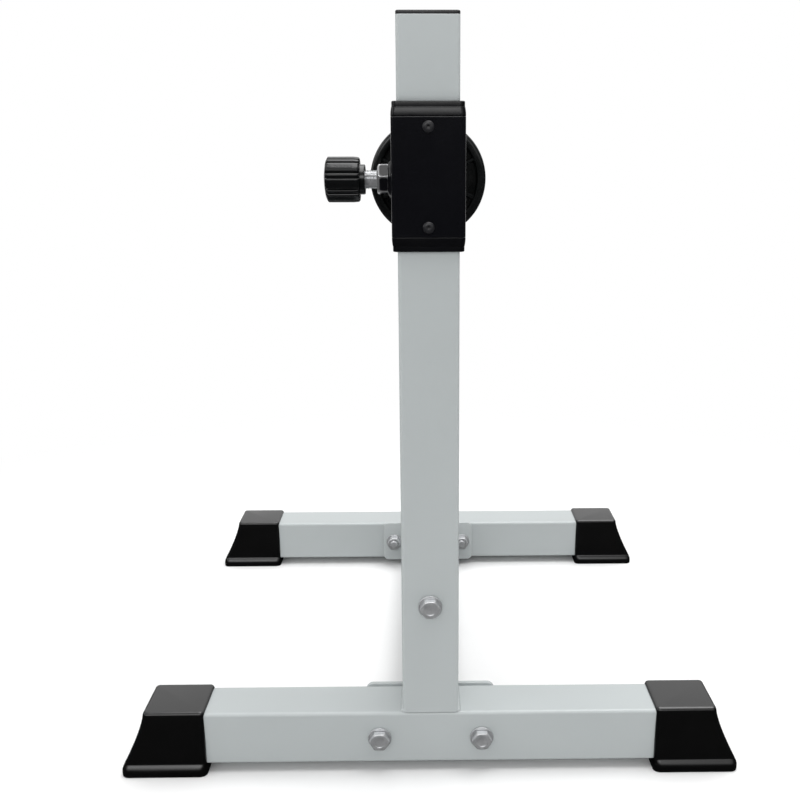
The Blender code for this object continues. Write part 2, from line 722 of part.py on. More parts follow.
def knob_ring(at, radius, flute_depth):
    """One level of the knob, round or fluted, with its points about the X axis."""
    count = KNOB_FLUTES * FLUTE_STEPS
    ring = []
    for i in range(count):
        angle = 2 * math.pi * i / count
        groove = (0.5 + 0.5 * math.cos(KNOB_FLUTES * angle)) ** 2
        reach = radius - flute_depth * groove
        turned_angle = angle + KNOB_TURN
        ring.append((at, reach * math.cos(turned_angle), reach * math.sin(turned_angle)))
    return ring


def make_knob():
    """The fluted knob, hollow where it passes over the barrel, with a socket for the pin's rod."""
    shoulder = KNOB_SHOULDER_DIAMETER / 2
    grip = KNOB_DIAMETER / 2
    start = KNOB_START
    fluted = start - KNOB_SHOULDER_LENGTH
    crown = start - KNOB_LENGTH + KNOB_DOME
    end = start - KNOB_LENGTH
    edge = KNOB_FLUTE_DEPTH / 2
    rings = [
        knob_ring(start, shoulder - edge / 2, 0),
        knob_ring(start - edge / 2, shoulder, 0),
        knob_ring(fluted, shoulder, 0),
        knob_ring(fluted - edge, grip - edge, KNOB_FLUTE_DEPTH / 2),
        knob_ring(fluted - 2 * edge, grip, KNOB_FLUTE_DEPTH),
        knob_ring(crown, grip, KNOB_FLUTE_DEPTH),
        knob_ring(crown - edge, grip - edge, KNOB_FLUTE_DEPTH / 2),
        knob_ring((crown + end) / 2 - edge / 2, grip * 0.72, 0),
        knob_ring(end, grip * 0.36, 0),
    ]
    knob = put("pull_knob", loft(rings), "black_plastic", PULL_PIN, (0, FRONT_Y, SETTING_HEIGHT))
    bore_depth = BARREL_IN_KNOB + PIN_TRAVEL + 2 * FIT_GAP
    over = bore_depth / 2
    hole = rod(BARREL_DIAMETER / 2 + 2 * FIT_GAP, bore_depth + over, PIN_STEPS)
    cut(knob, hole, (start - (bore_depth - over) / 2, FRONT_Y, SETTING_HEIGHT), "X")
    socket = rod(PIN_ROD / 2 + FIT_GAP, KNOB_ROD_SOCKET + over, PIN_STEPS)
    socket_at = start - bore_depth - (KNOB_ROD_SOCKET - over) / 2
    cut(knob, socket, (socket_at, FRONT_Y, SETTING_HEIGHT), "X")


def make_pin():
    """The pin: a thick nose that enters the upright, and a rod that runs out to the knob."""
    nose = PIN_DIAMETER / 2
    stem = PIN_ROD / 2
    edge = nose / 6
    shoulder = PIN_TIP - PIN_NOSE_LENGTH
    bore_depth = BARREL_IN_KNOB + PIN_TRAVEL + 2 * FIT_GAP
    end = KNOB_START - bore_depth - KNOB_ROD_SOCKET + FIT_GAP
    profile = [
        (0, PIN_TIP),
        (nose - edge, PIN_TIP),
        (nose, PIN_TIP - edge),
        (nose, shoulder),
        (stem, shoulder),
        (stem, end),
        (0, end),
    ]
    mesh = turned(profile, PIN_STEPS, closed=False)
    put("pull_pin", mesh, "zinc", PULL_PIN, (0, FRONT_Y, SETTING_HEIGHT), "X")


def make_spring():
    """The spring inside the barrel, squeezed between the pin's nose and the barrel's end wall."""
    wire = SPRING_WIRE / 2
    radius = (PIN_ROD / 2 + BARREL_BORE / 2) / 2
    start = PIN_TIP - PIN_NOSE_LENGTH - FIT_GAP - wire
    end = BARREL_END + BARREL_END_WALL + FIT_GAP + wire
    per_turn = 10
    count = SPRING_TURNS * per_turn
    curve = bpy.data.curves.new("spring", "CURVE")
    curve.dimensions = "3D"
    curve.bevel_depth = wire
    curve.bevel_resolution = 1
    curve.use_fill_caps = True
    spline = curve.splines.new("POLY")
    spline.points.add(count)
    for i, point in enumerate(spline.points):
        angle = 2 * math.pi * i / per_turn
        at = start + (end - start) * i / count
        point.co = (at, radius * math.cos(angle), radius * math.sin(angle), 1)
    gap = (start - end) / SPRING_TURNS - SPRING_WIRE
    print(f"pin_spring: least gap between turns {gap * 1000:.2f} mm")
    helix = bpy.data.objects.new("spring", curve)
    bpy.context.scene.collection.objects.link(helix)
    mesh = cleaned(baked(helix))
    put("pin_spring", mesh, "zinc", SLEEVE, (0, FRONT_Y, SETTING_HEIGHT))


def make_axle():
    """The welded flange and axle on the sleeve's back, with the pieces that keep the roller on."""
    outline = rounded_rectangle(AXLE_FLANGE_WIDTH / 2, AXLE_FLANGE_HEIGHT / 2, PLATE_CORNER)
    flange = extruded([outline], AXLE_FLANGE_THICKNESS)
    middle = FLANGE_START + AXLE_FLANGE_THICKNESS / 2
    put("axle_flange", flange, "black_paint", SLEEVE, (0, middle, SETTING_HEIGHT), "Y")

    outer = AXLE_DIAMETER / 2
    inner = outer - AXLE_WALL
    length = AXLE_END - AXLE_START
    solid_from = length - AXLE_END_LENGTH
    hole = END_BOLT_HOLE / 2
    profile = [
        (outer, 0),
        (outer, -length),
        (hole, -length),
        (hole, -solid_from),
        (inner, -solid_from),
        (inner, 0),
    ]
    axle = turned(profile, AXLE_STEPS)
    put("roller_axle", axle, "zinc", SLEEVE, (0, AXLE_START, SETTING_HEIGHT), "Y")

    bore = AXLE_DIAMETER + 2 * FIT_GAP
    ring = washer(THRUST_WASHER_DIAMETER, bore, THRUST_WASHER_THICKNESS, AXLE_STEPS)
    at = (0, AXLE_START + THRUST_WASHER_THICKNESS, SETTING_HEIGHT)
    put("axle_thrust_washer", ring, "nylon", SLEEVE, at, "Y")

    ring = washer(END_WASHER_DIAMETER, END_BOLT_HOLE, END_WASHER_THICKNESS, AXLE_STEPS)
    face = AXLE_END + FIT_GAP + END_WASHER_THICKNESS
    put("axle_end_washer", ring, "zinc", SLEEVE, (0, face, SETTING_HEIGHT), "Y")
    bolt = hex_bolt(END_BOLT_DIAMETER, END_BOLT_FLATS, END_BOLT_HEAD, END_BOLT_LENGTH, BOLT_STEPS)
    at = (0, face + FIT_GAP, SETTING_HEIGHT)
    put("axle_end_bolt", bolt, "zinc", SLEEVE, at, "Y")


def cap_mesh():
    """An end cap with its outer face at 0 and its plug running up Z into the core."""
    rim = ROLLER_DIAMETER / 2
    rim_inner = rim - CAP_RIM_WIDTH
    hub = CAP_HUB_DIAMETER / 2
    bore = BUSH_DIAMETER / 2 + FIT_GAP
    plug = CORE_DIAMETER / 2 - CORE_WALL - FIT_GAP
    edge = CAP_RIM_WIDTH / 4
    back = CAP_RIM_DEPTH
    profile = [
        (bore, back + CAP_PLUG_LENGTH),
        (plug, back + CAP_PLUG_LENGTH),
        (plug, back),
        (rim - edge, back),
        (rim, back - edge),
        (rim, edge),
        (rim - edge, 0),
        (rim_inner + edge, 0),
        (rim_inner, edge),
        (rim_inner, CAP_RECESS),
        (hub, CAP_RECESS),
        (hub, 0),
        (bore, 0),
    ]
    cap = bpy.data.objects.new("cap", turned(profile, ROLLER_STEPS))
    bpy.context.scene.collection.objects.link(cap)
    overlap = CAP_RIM_WIDTH / 4
    length = rim_inner - hub + 2 * overlap
    middle = (rim_inner + hub) / 2
    work = bmesh.new()
    for i in range(CAP_RIBS):
        turn = Matrix.Rotation(2 * math.pi * (i + 0.5) / CAP_RIBS, 4, "Z")
        shift = Matrix.Translation((middle, 0, CAP_RECESS * 0.7))
        size = Matrix.Diagonal((length, CAP_RIB_THICKNESS, CAP_RECESS, 1.0))
        bmesh.ops.create_cube(work, size=1.0, matrix=turn @ shift @ size)
    ribs = bpy.data.meshes.new("ribs")
    work.to_mesh(ribs)
    work.free()
    cut(cap, ribs, (0, 0, 0), "Z", "UNION")
    return smooth(baked(cap))


def make_roller():
    """The roller: a core tube, its foam, and a cap and a bush at each end."""
    core_outer = CORE_DIAMETER / 2
    core_inner = core_outer - CORE_WALL
    start = CAP_RIM_DEPTH + FIT_GAP
    length = ROLLER_LENGTH - 2 * start
    low = -length / 2
    high = length / 2
    middle = (0, (ROLLER_START + ROLLER_END) / 2, SETTING_HEIGHT)
    profile = [(core_outer, high), (core_outer, low), (core_inner, low), (core_inner, high)]
    put("roller_core", turned(profile, AXLE_STEPS), "zinc", ROLLER, middle, "Y")

    foam = FOAM_DIAMETER / 2
    bore = core_outer + FIT_GAP
    edge = FOAM_EDGE
    profile = [
        (foam - edge, high),
        (foam - edge * 0.3, high - edge * 0.3),
        (foam, high - edge),
        (foam, low + edge),
        (foam - edge * 0.3, low + edge * 0.3),
        (foam - edge, low),
        (bore, low),
        (bore, high),
    ]
    put("roller_foam", turned(profile, ROLLER_STEPS), "foam", ROLLER, middle, "Y")

    bush_bore = AXLE_DIAMETER / 2 + BUSH_BORE_GAP
    ring = [
        (BUSH_DIAMETER / 2, BUSH_LENGTH),
        (BUSH_DIAMETER / 2, 0),
        (bush_bore, 0),
        (bush_bore, BUSH_LENGTH),
    ]
    for name, y, spin in (("front", ROLLER_START, math.pi), ("rear", ROLLER_END, 0.0)):
        at = (0, y, SETTING_HEIGHT)
        put(f"roller_{name}_cap", cap_mesh(), "black_plastic", ROLLER, at, "Y", spin)
        put(f"roller_{name}_bush", turned(ring, AXLE_STEPS), "nylon", ROLLER, at, "Y", spin)


make_feet()
make_boots()
make_upright()
make_plug()
make_beam()
make_brace()
make_bolts()
make_sleeve()
make_liners()
make_pin_housing()
make_knob()
make_pin()
make_spring()
make_axle()
make_roller()
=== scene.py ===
"""The looks of a single leg squat stand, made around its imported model.

The steel, the plastics, the rubber and the foam each get a detailed piece in place of the plain
solid, on the same body and in the same space. Lengths are in metres, in the model's own frame: X
runs along the feet, +Y runs from the upright to the rear foot, and Z is up.
"""

import json
import math

import bmesh
import bpy
from mathutils import Matrix, Vector

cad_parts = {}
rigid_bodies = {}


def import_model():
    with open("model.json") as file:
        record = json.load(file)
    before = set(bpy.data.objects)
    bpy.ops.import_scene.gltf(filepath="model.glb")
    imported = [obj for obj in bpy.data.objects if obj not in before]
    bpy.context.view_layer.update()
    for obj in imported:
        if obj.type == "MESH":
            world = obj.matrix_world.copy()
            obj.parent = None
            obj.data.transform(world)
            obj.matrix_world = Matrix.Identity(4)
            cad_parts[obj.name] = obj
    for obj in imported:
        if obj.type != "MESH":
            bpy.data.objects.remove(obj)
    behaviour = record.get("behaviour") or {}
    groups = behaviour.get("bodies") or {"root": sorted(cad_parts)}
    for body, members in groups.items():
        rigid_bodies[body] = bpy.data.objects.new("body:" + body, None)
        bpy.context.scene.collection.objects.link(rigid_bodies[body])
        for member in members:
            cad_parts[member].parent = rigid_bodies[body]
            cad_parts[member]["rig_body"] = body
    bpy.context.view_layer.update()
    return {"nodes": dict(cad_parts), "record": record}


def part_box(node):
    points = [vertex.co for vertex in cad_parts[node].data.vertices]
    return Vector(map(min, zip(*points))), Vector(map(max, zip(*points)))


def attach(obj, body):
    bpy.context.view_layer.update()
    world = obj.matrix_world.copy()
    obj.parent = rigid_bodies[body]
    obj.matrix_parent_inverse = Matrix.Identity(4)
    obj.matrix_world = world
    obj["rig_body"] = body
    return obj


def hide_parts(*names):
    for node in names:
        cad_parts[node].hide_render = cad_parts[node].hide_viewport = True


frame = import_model()
NODE_SLOTS = {row["node"]: row["material_slot"] for row in frame["record"]["subparts"]}

# Camera, in the photograph's frame
CAMERA_AT = (-0.0058, -1.3166, 0.6500)
CAMERA_PITCH = math.radians(13.860)  # below the horizon
CAMERA_YAW = math.radians(0.860)  # towards +X
CAMERA_ROLL = math.radians(0.107)
CAMERA_LENS = 45.707
CAMERA_SENSOR = 36.0
CAMERA_SHIFT = (-0.0481, 0.0151)

# Facets
CORNER_STEPS = 8
CORNER_MARGIN = 0.0012  # from a corner to the next point on the flat
EDGE_STEPS = 4
ROUND_STEPS = 64
HEX_STEPS = 96
SMOOTH_ANGLE = 35  # degrees, up to which an edge is shaded smooth
MOULDED_SMOOTH_ANGLE = 50  # the same for the boots and the knob
BEAD_SMOOTH_ANGLE = 60
SOLID_SMOOTH_ANGLE = 32  # for the plain solids that stay

# Steel
FIT_GAP = 0.0003
TUBE_WALL = 0.002
TUBE_CORNER = 0.0035
TUBE_EDGE = 0.0004
TUBE_RING = 0.024  # between the rings of points along a tube
HOLE_MARGIN = 0.0015  # from a hole to the next point on the flat
LINE_REACH = 0.00005  # within which a line of points keeps to a point that is there
BRACE_CORNER = 0.003
BRACE_SLOPE = math.radians(45)
BRACE_SHARES = (0, 0.012, 0.036, 0.2, 0.35, 0.5, 0.65, 0.8, 0.964, 0.988, 1)  # where its rings are
PLATE_CORNER = 0.008
PLATE_EDGE = 0.0009
BOLT_HOLE = 0.0126
PIN_HOLE = 0.013
HOLE_PITCH = 0.050
HOLES_ABOVE = 1
HOLES_BELOW = 6
HOLE_EDGE = 0.00045
CUT_SEGMENTS = 3
CUT_ANGLE = math.radians(50)  # sharper edges than this are broken
SLEEVE_CORNER = 0.005
SCREW_HOLE = 0.0056

# Weld beads
BEAD_LEG = 0.0026
PLATE_BEAD_LEG = BEAD_LEG * 0.78
FLANGE_BEAD_LEG = 0.0030
BOSS_BEAD_LEG = 0.0034
BEAD_PITCH = 0.0024
BEAD_STATIONS = 7  # in each ripple
BEAD_STEPS = 7  # round the bead
BEAD_POWER = 1.55
BEAD_RIPPLE = 0.075
BEAD_WANDER = 0.06
BEAD_CRESCENT = 0.32
BEAD_ROOT = 0.0006

# Boots
BOOT_EDGE = 0.004
BOOT_FLARE = 0.0225
BOOT_FLARE_POWER = 1.3
BOOT_SIDE_FLARE = 0.0030
BOOT_LIP_HEIGHT = 0.0145
BOOT_LIP = 0.0033
BOOT_LIP_INNER = 0.0006
BOOT_LIP_OUTER = 0.0030
BOOT_CORNER = 0.005
BOOT_TOP_CORNER = 0.0022
BOOT_LEVELS = 26
BOOT_MOUTH = 0.0008
SOCKET_OVERRUN = 0.02  # of the socket's guide, beyond the boot's inner end

# Plug
PLUG_WALL = 0.002
PLUG_EDGE = 0.0013
PLUG_CORNER = 0.0015  # the least

# Liners
COLLAR_SHOULDER = 0.0082
COLLAR_DRAW = 0.0008
COLLAR_STEP = 0.0002
COLLAR_EDGE = 0.0002
COLLAR_ROUND = 0.0012
COLLAR_LEVELS = 10
LINER_EDGE = 0.0004

# Fasteners
BOLT_AXES = {
    "front_left": "Y",
    "front_right": "Y",
    "rear_left": "-Y",
    "rear_right": "-Y",
    "brace": "Y",
}
HEX_SHARPNESS = 46
HEX_CHAMFER = math.radians(30)
HEX_FACE = 0.93  # of the flats, to the chamfer's inner edge
HEX_SOFT = 0.00022
HEAD_DISH = 0.0005
HEAD_DISH_REACH = 0.27  # of the flats
HEAD_SOFT = 0.0003
NUT_MOUTH = 0.0006
NUT_SHARES = (0.2, 0.35, 0.5, 0.65, 0.8)  # of its height, where its rings are
WASHER_FACE = 0.0005
WASHER_FACE_ROOT = 0.465  # of the flats
WASHER_FACE_RIM = 0.46
WASHER_EDGE = 0.0005
BOLT_DIAMETER = 0.012
BOLT_PITCH = 0.00175
BOLT_THREAD = 0.024
END_BOLT_DIAMETER = 0.010
END_BOLT_PITCH = 0.0015
END_BOLT_THREAD = 0.012
THREAD_LEVELS = 8  # in each turn
THREAD_DEPTH = 0.55  # of the pitch
THREAD_END = 0.6  # of the pitch, at the thread's start and before its tip
SCREW_SHANK = 0.0025
SCREW_FLAT = 0.45  # of the head, round its socket
SCREW_STEPS = 8
SOCKET_FLATS = 0.0032
SOCKET_DEPTH = 0.0014

# Pull pin
BARREL_PITCH = 0.0015
BARREL_BORE = 0.013
BARREL_CHAMFER = 0.0009
BARREL_RELIEF = 0.0002  # before its thread starts
BARREL_MOUTH = 0.0043  # the pin's way through its end wall
BARREL_END_WALL = 0.004
BOSS_FLATS = 0.027
BOSS_TURN = math.radians(11)
BOSS_STATIONS = 72
BOSS_STEP = 0.02  # radians ahead, to find the way that a side faces
KNOB_SHOULDER_DIAMETER = 0.0288
KNOB_SHOULDER_LENGTH = 0.0052
KNOB_DOME = 0.0038
KNOB_FLUTES = 8
KNOB_FLUTE_DEPTH = 0.0022
KNOB_FLUTE_STEPS = 40
KNOB_FLUTE_START = 0.70  # of the grip's radius
KNOB_FLUTE_BLEND = 0.26
KNOB_CROWN = 0.3  # of the flutes' depth, across a rib
KNOB_TURN = math.radians(13)
KNOB_GROOVE_AT = math.radians(7.0)  # from the middle of a rib
KNOB_GROOVE_WIDTH = math.radians(2.6)
KNOB_BORE = 0.0192
KNOB_BORE_DEPTH = 0.0135
KNOB_EDGE = 0.0018
KNOB_SPAN = 0.004  # the longest step along its outline

# Roller
AXLE_BORE = 0.0256
THRUST_WASHER_EDGE = 0.0003
END_WASHER_BORE = 0.0106
CAP_RIM_WIDTH = 0.009
CAP_RIM_DEPTH = 0.008
CAP_RECESS = 0.005
CAP_CREST = 0.0013  # from the face down to the top of a rib
CAP_HUB_DIAMETER = 0.048
CAP_RIBS = 8
CAP_RIB_THICKNESS = 0.003
CAP_RIB_BLEND = 0.0007
CAP_STEPS = 240
CAP_FLOOR_SPANS = 14
FOAM_EDGE = 0.003
FOAM_STEPS = 160
FOAM_LEVELS = 96
FOAM_UNEVEN = 0.00035
FOAM_FADE = 0.02  # from each end, to where it is uneven in full
CORE_DIAMETER = 0.048

# Light
FLOOR_REACH = 40.0
FLOOR_NEAR = 0.45
FLOOR_FAR = 1.30

AXES = {
    "X": ((0, 1, 0), (0, 0, 1), (1, 0, 0)),
    "-X": ((0, -1, 0), (0, 0, 1), (-1, 0, 0)),
    "Y": ((-1, 0, 0), (0, 0, 1), (0, 1, 0)),
    "-Y": ((1, 0, 0), (0, 0, 1), (0, -1, 0)),
    "Z": ((1, 0, 0), (0, 1, 0), (0, 0, 1)),
    "-Z": ((1, 0, 0), (0, -1, 0), (0, 0, -1)),
}


def placed(origin, axis):
    """The matrix that carries a shape drawn about its own Z to a point and an axis."""
    columns = Matrix(AXES[axis]).transposed()
    return Matrix.Translation(origin) @ columns.to_4x4()


def moved(mesh, origin, axis):
    mesh.transform(placed(origin, axis))
    return mesh


def spans(node):
    """The low corner, the high corner and the middle of a node's box."""
    low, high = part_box(node)
    return low, high, (low + high) / 2


def middle(node):
    return spans(node)[2]


def soft_step(value):
    """A value from 0 to 1, held there beyond and eased at both ends."""
    value = max(0.0, min(1.0, value))
    return value * value * (3 - 2 * value)


# Meshes


def skin(rings, wrapped=False, angle=SMOOTH_ANGLE):
    """A mesh through rings of as many points each, with end caps or run back to its start.

    Its faces point out, and its edges up to an angle are shaded smooth.
    """
    count = len(rings[0])
    points = [point for ring in rings for point in ring]
    last = len(rings) - 1
    faces = []
    for row in range(len(rings) if wrapped else last):
        low = row * count
        high = (row + 1) % len(rings) * count
        for i in range(count):
            after = (i + 1) % count
            faces.append((low + i, low + after, high + after, high + i))
    if not wrapped:
        faces.append(tuple(range(count)))
        faces.append(tuple(range(last * count, (last + 1) * count)))
    mesh = bpy.data.meshes.new("skin")
    mesh.from_pydata(points, [], faces)
    work = bmesh.new()
    work.from_mesh(mesh)
    bmesh.ops.recalc_face_normals(work, faces=work.faces)
    work.to_mesh(mesh)
    work.free()
    mesh.shade_smooth()
    mesh.set_sharp_from_angle(angle=math.radians(angle))
    return mesh


def spun(profile, count=HEX_STEPS, wrapped=False, angle=SMOOTH_ANGLE):
    """A shape about Z through (reach, height) rings, each a number or a function of the angle."""
    rings = []
    for reach, height in profile:
        ring = []
        for i in range(count):
            turn = 2 * math.pi * i / count
            out = reach(turn) if callable(reach) else reach
            up = height(turn) if callable(height) else height
            ring.append((out * math.cos(turn), out * math.sin(turn), up))
        rings.append(ring)
    return skin(rings, wrapped, angle)


def filleted(points, closed=True, steps=EDGE_STEPS):
    """An outline whose corners, given as (across, along, radius), are rounded."""
    outline = []
    count = len(points)
    for i, (across, along, radius) in enumerate(points):
        here = Vector((across, along))
        if radius == 0 or (not closed and i in (0, count - 1)):
            outline.append((across, along))
            continue
        back = (Vector(points[i - 1][:2]) - here).normalized()
        ahead = (Vector(points[(i + 1) % count][:2]) - here).normalized()
        half = back.angle(ahead) / 2
        centre = here + (back + ahead).normalized() * radius / math.sin(half)
        first = here + back * radius / math.tan(half) - centre
        final = here + ahead * radius / math.tan(half) - centre
        for step in range(steps + 1):
            spoke = first.lerp(final, step / steps).normalized() * radius
            outline.append(tuple(centre + spoke))
    return outline


def rounded_rectangle(half_x, half_y, corner, height=0.0):
    """A ring round a rectangle, anticlockwise: round corners, and a point on the flat by each."""
    points = []
    for quarter, (sign_x, sign_y) in enumerate(((1, 1), (-1, 1), (-1, -1), (1, -1))):
        centre_x = sign_x * (half_x - corner)
        centre_y = sign_y * (half_y - corner)
        for step in range(-1, CORNER_STEPS + 2):
            on_arc = min(max(step, 0), CORNER_STEPS)
            angle = math.radians(90) * (quarter + on_arc / CORNER_STEPS)
            across, along = math.cos(angle), math.sin(angle)
            slide = CORNER_MARGIN * (step - on_arc)
            x = centre_x + corner * across - slide * along
            y = centre_y + corner * along + slide * across
            points.append((x, y, height))
    return points


def squared(levels, wrapped=False):
    """A square shape along Z through (half, corner, height) rings."""
    rings = [rounded_rectangle(half, half, corner, height) for half, corner, height in levels]
    return skin(rings, wrapped)


def edge_insets(edge, steps=EDGE_STEPS):
    """(inset, depth) along a quarter round, from the flat end to the side."""
    turns = [math.radians(90) * step / steps for step in range(steps + 1)]
    return [(edge * (1 - math.sin(turn)), edge * (1 - math.cos(turn))) for turn in turns]


def square_tube(node, axis, corner=TUBE_CORNER):
    """The square tube of a node that runs along an axis, in its place, with broken end edges."""
    low, high, start = spans(node)
    along = "XYZ".index(axis)
    side = 2 if axis == "X" else 0
    half = (high[side] - low[side]) / 2
    length = high[along] - low[along]
    insets = edge_insets(TUBE_EDGE)
    levels = [(half - inset, corner, depth) for inset, depth in insets]
    count = max(2, round(length / TUBE_RING))
    straight = length - 6 * TUBE_EDGE
    levels += [(half, corner, 3 * TUBE_EDGE + straight * i / count) for i in range(count + 1)]
    levels += [(half - inset, corner, length - depth) for inset, depth in insets[::-1]]
    levels += [(half - TUBE_WALL, corner - TUBE_WALL / 2, end) for end in (length, 0)]
    start[along] = low[along]
    return moved(squared(levels, wrapped=True), start, axis)


# Objects


def show(name, data):
    thing = bpy.data.objects.new(name, data)
    bpy.context.scene.collection.objects.link(thing)
    return thing


def add_on(name, mesh, node):
    """A piece on the body of a node and with its finish."""
    piece = show(name, mesh)
    mesh.materials.clear()
    mesh.materials.append(FINISHES[NODE_SLOTS[node]])
    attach(piece, frame["nodes"][node]["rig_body"])
    return piece


def dress(node, mesh, origin=(0, 0, 0), axis="Z"):
    """A detailed piece that stands for one node, carried to a point and an axis."""
    piece = add_on(node + "_surface", moved(mesh, origin, axis), node)
    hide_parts(node)
    return piece


def drill(point, axis, diameter, depth):
    """A guide for a round hole that starts a little before a point."""
    profile = [(diameter / 2, -depth / 4), (diameter / 2, depth)]
    return moved(spun(profile, ROUND_STEPS), point, axis)


def carved(mesh, guides, edge):
    """The mesh with shapes cut out of it, and the edges of the cuts broken."""
    thing = show("carved", mesh)
    cutters = [show("guide", guide) for guide in guides]
    for cutter in cutters:
        step = thing.modifiers.new("cut", "BOOLEAN")
        step.object = cutter
    if edge:
        bevel = thing.modifiers.new("edge", "BEVEL")
        bevel.width = edge
        bevel.segments = CUT_SEGMENTS
        bevel.limit_method = "ANGLE"
        bevel.angle_limit = CUT_ANGLE
        bevel.harden_normals = True
    bpy.context.view_layer.update()
    graph = bpy.context.evaluated_depsgraph_get()
    made = bpy.data.meshes.new_from_object(thing.evaluated_get(graph))
    for helper in [thing, *cutters]:
        bpy.data.objects.remove(helper)
    return made


def drilled(mesh, guides):
    """The mesh with its holes, and points across its flats a little outside each hole."""
    work = bmesh.new()
    work.from_mesh(mesh)
    for guide in guides:
        for axis in range(3):
            spread = [point.co[axis] for point in guide.vertices]
            for place in (min(spread) - HOLE_MARGIN, max(spread) + HOLE_MARGIN):
                at = Vector()
                at[axis] = place
                across = Vector()
                across[axis] = 1
                parts = [*work.verts, *work.edges, *work.faces]
                bmesh.ops.bisect_plane(
                    work, geom=parts, dist=LINE_REACH, plane_co=at, plane_no=across
                )
    work.to_mesh(mesh)
    work.free()
    return carved(mesh, guides, HOLE_EDGE)


def row_bolts(row):
    return [f"{row}_left_bolt", f"{row}_right_bolt"]


def bolt_holes(bolts, start, depth):
    """Guides for the holes of some bolts, along +Y."""
    spots = [middle(bolt) for bolt in bolts]
    return [drill((at.x, start, at.z), "Y", BOLT_HOLE, depth) for at in spots]


# Welds


def even_path(corners, spacing, closed):
    """Evenly spaced stations along a path, and its length.

    Each corner of the path is a point, its outward way and its upward way. Each station is the
    travel to it and then the same.
    """
    path = list(corners)
    if closed:
        path.append(path[0])
    lengths = [0.0]
    for before, after in zip(path, path[1:]):
        lengths.append(lengths[-1] + (after[0] - before[0]).length)
    count = max(2, round(lengths[-1] / spacing))
    stations = []
    leg = 0
    for i in range(count if closed else count + 1):
        travel = lengths[-1] * i / count
        while lengths[leg + 1] < travel - 1e-9:
            leg += 1
        share = (travel - lengths[leg]) / max(lengths[leg + 1] - lengths[leg], 1e-9)
        before, after = path[leg], path[leg + 1]
        point, out, up = (a.lerp(b, share) for a, b in zip(before, after))
        stations.append((travel, point, out.normalized(), up.normalized()))
    return stations, lengths[-1]


def bead(corners, closed, leg=BEAD_LEG, phase=0.0):
    """A weld bead in the corner that a path follows, with the ripples of its pools."""
    rough = sum((b[0] - a[0]).length for a, b in zip(corners, corners[1:] + corners[:1]))
    ripples = max(1, round(rough / BEAD_PITCH))
    stations, length = even_path(corners, rough / ripples / BEAD_STATIONS, closed)
    rings = []
    for travel, point, out, up in stations:
        run = 2 * math.pi * travel / length
        wander = math.sin(7 * run + phase) * 0.6 + math.sin(13 * run + 2.1 + phase) * 0.4
        end = 1.0
        if not closed:
            end = min(1.0, (min(travel, length - travel) / leg + 0.15) ** 0.5)
        ring = [tuple(point - (out + up) * BEAD_ROOT)]
        for step in range(BEAD_STEPS + 1):
            turn = math.radians(90) * step / BEAD_STEPS
            across, along = math.cos(turn), math.sin(turn)
            bow = (abs(across) ** BEAD_POWER + abs(along) ** BEAD_POWER) ** (-1 / BEAD_POWER)
            pool = travel * ripples / length + BEAD_CRESCENT * math.sin(2 * turn)
            wave = 1 - 2 * abs(pool % 1.0 - 0.5) ** 0.7
            size = leg * bow * end * (1 + BEAD_RIPPLE * wave + BEAD_WANDER * wander)
            ring.append(tuple(point + (out * across + up * along) * size))
        rings.append(ring)
    return skin(rings, closed, BEAD_SMOOTH_ANGLE)


def loop_corners(half_x, half_y, corner, matrix):
    """A path round a rectangle that stands on a plane, in the world."""
    path = []
    turn = matrix.to_3x3()
    up = turn @ Vector((0, 0, 1))
    for x, y, _ in rounded_rectangle(half_x, half_y, corner):
        centre_x = math.copysign(min(abs(x), half_x - corner), x)
        centre_y = math.copysign(min(abs(y), half_y - corner), y)
        out = (turn @ Vector((x - centre_x, y - centre_y, 0))).normalized()
        path.append((matrix @ Vector((x, y, 0)), out, up.copy()))
    return path


# Fasteners


def hex_reach(apothem, turn=0.0):
    """How far a hexagon with softened corners reaches at an angle."""

    def reach(angle):
        total = 0.0
        for side in range(6):
            facing = math.cos(angle - turn - math.radians(30 + 60 * side))
            total += max(0.0, facing) ** HEX_SHARPNESS
        return apothem * total ** (-1 / HEX_SHARPNESS)

    return reach


def hex_edge(flats, height, towards, turn=0.0):
    """The profile from a chamfered end face, over its edge, onto the six sides."""
    side = hex_reach(flats / 2, turn)
    face = flats / 2 * HEX_FACE
    soft = HEX_SOFT

    def drop(angle, more):
        return height + towards * ((side(angle) - face) * math.tan(HEX_CHAMFER) + more)

    return [
        (face - soft, height),
        (face + soft, height + towards * soft / 3),
        (lambda a: side(a) - soft, lambda a: drop(a, -soft / 3)),
        (side, lambda a: drop(a, soft)),
    ]


def thread_profile(diameter, pitch, start, end):
    """The profile of a screw thread, which fades in at its start."""
    crest = diameter / 2
    depth = pitch * THREAD_DEPTH
    levels = max(4, round((end - start) / pitch * THREAD_LEVELS))
    profile = []
    for level in range(levels + 1):
        at = start + (end - start) * level / levels
        fade = min(1.0, (at - start) / (THREAD_END * pitch))

        def reach(angle, at=at, fade=fade):
            tooth = abs((at / pitch - angle / (2 * math.pi)) % 1.0 - 0.5) * 2
            cut = min(1.0, max(0.0, tooth * 1.35 - 0.15))
            return crest - depth * cut * fade

        profile.append((reach, at))
    return profile


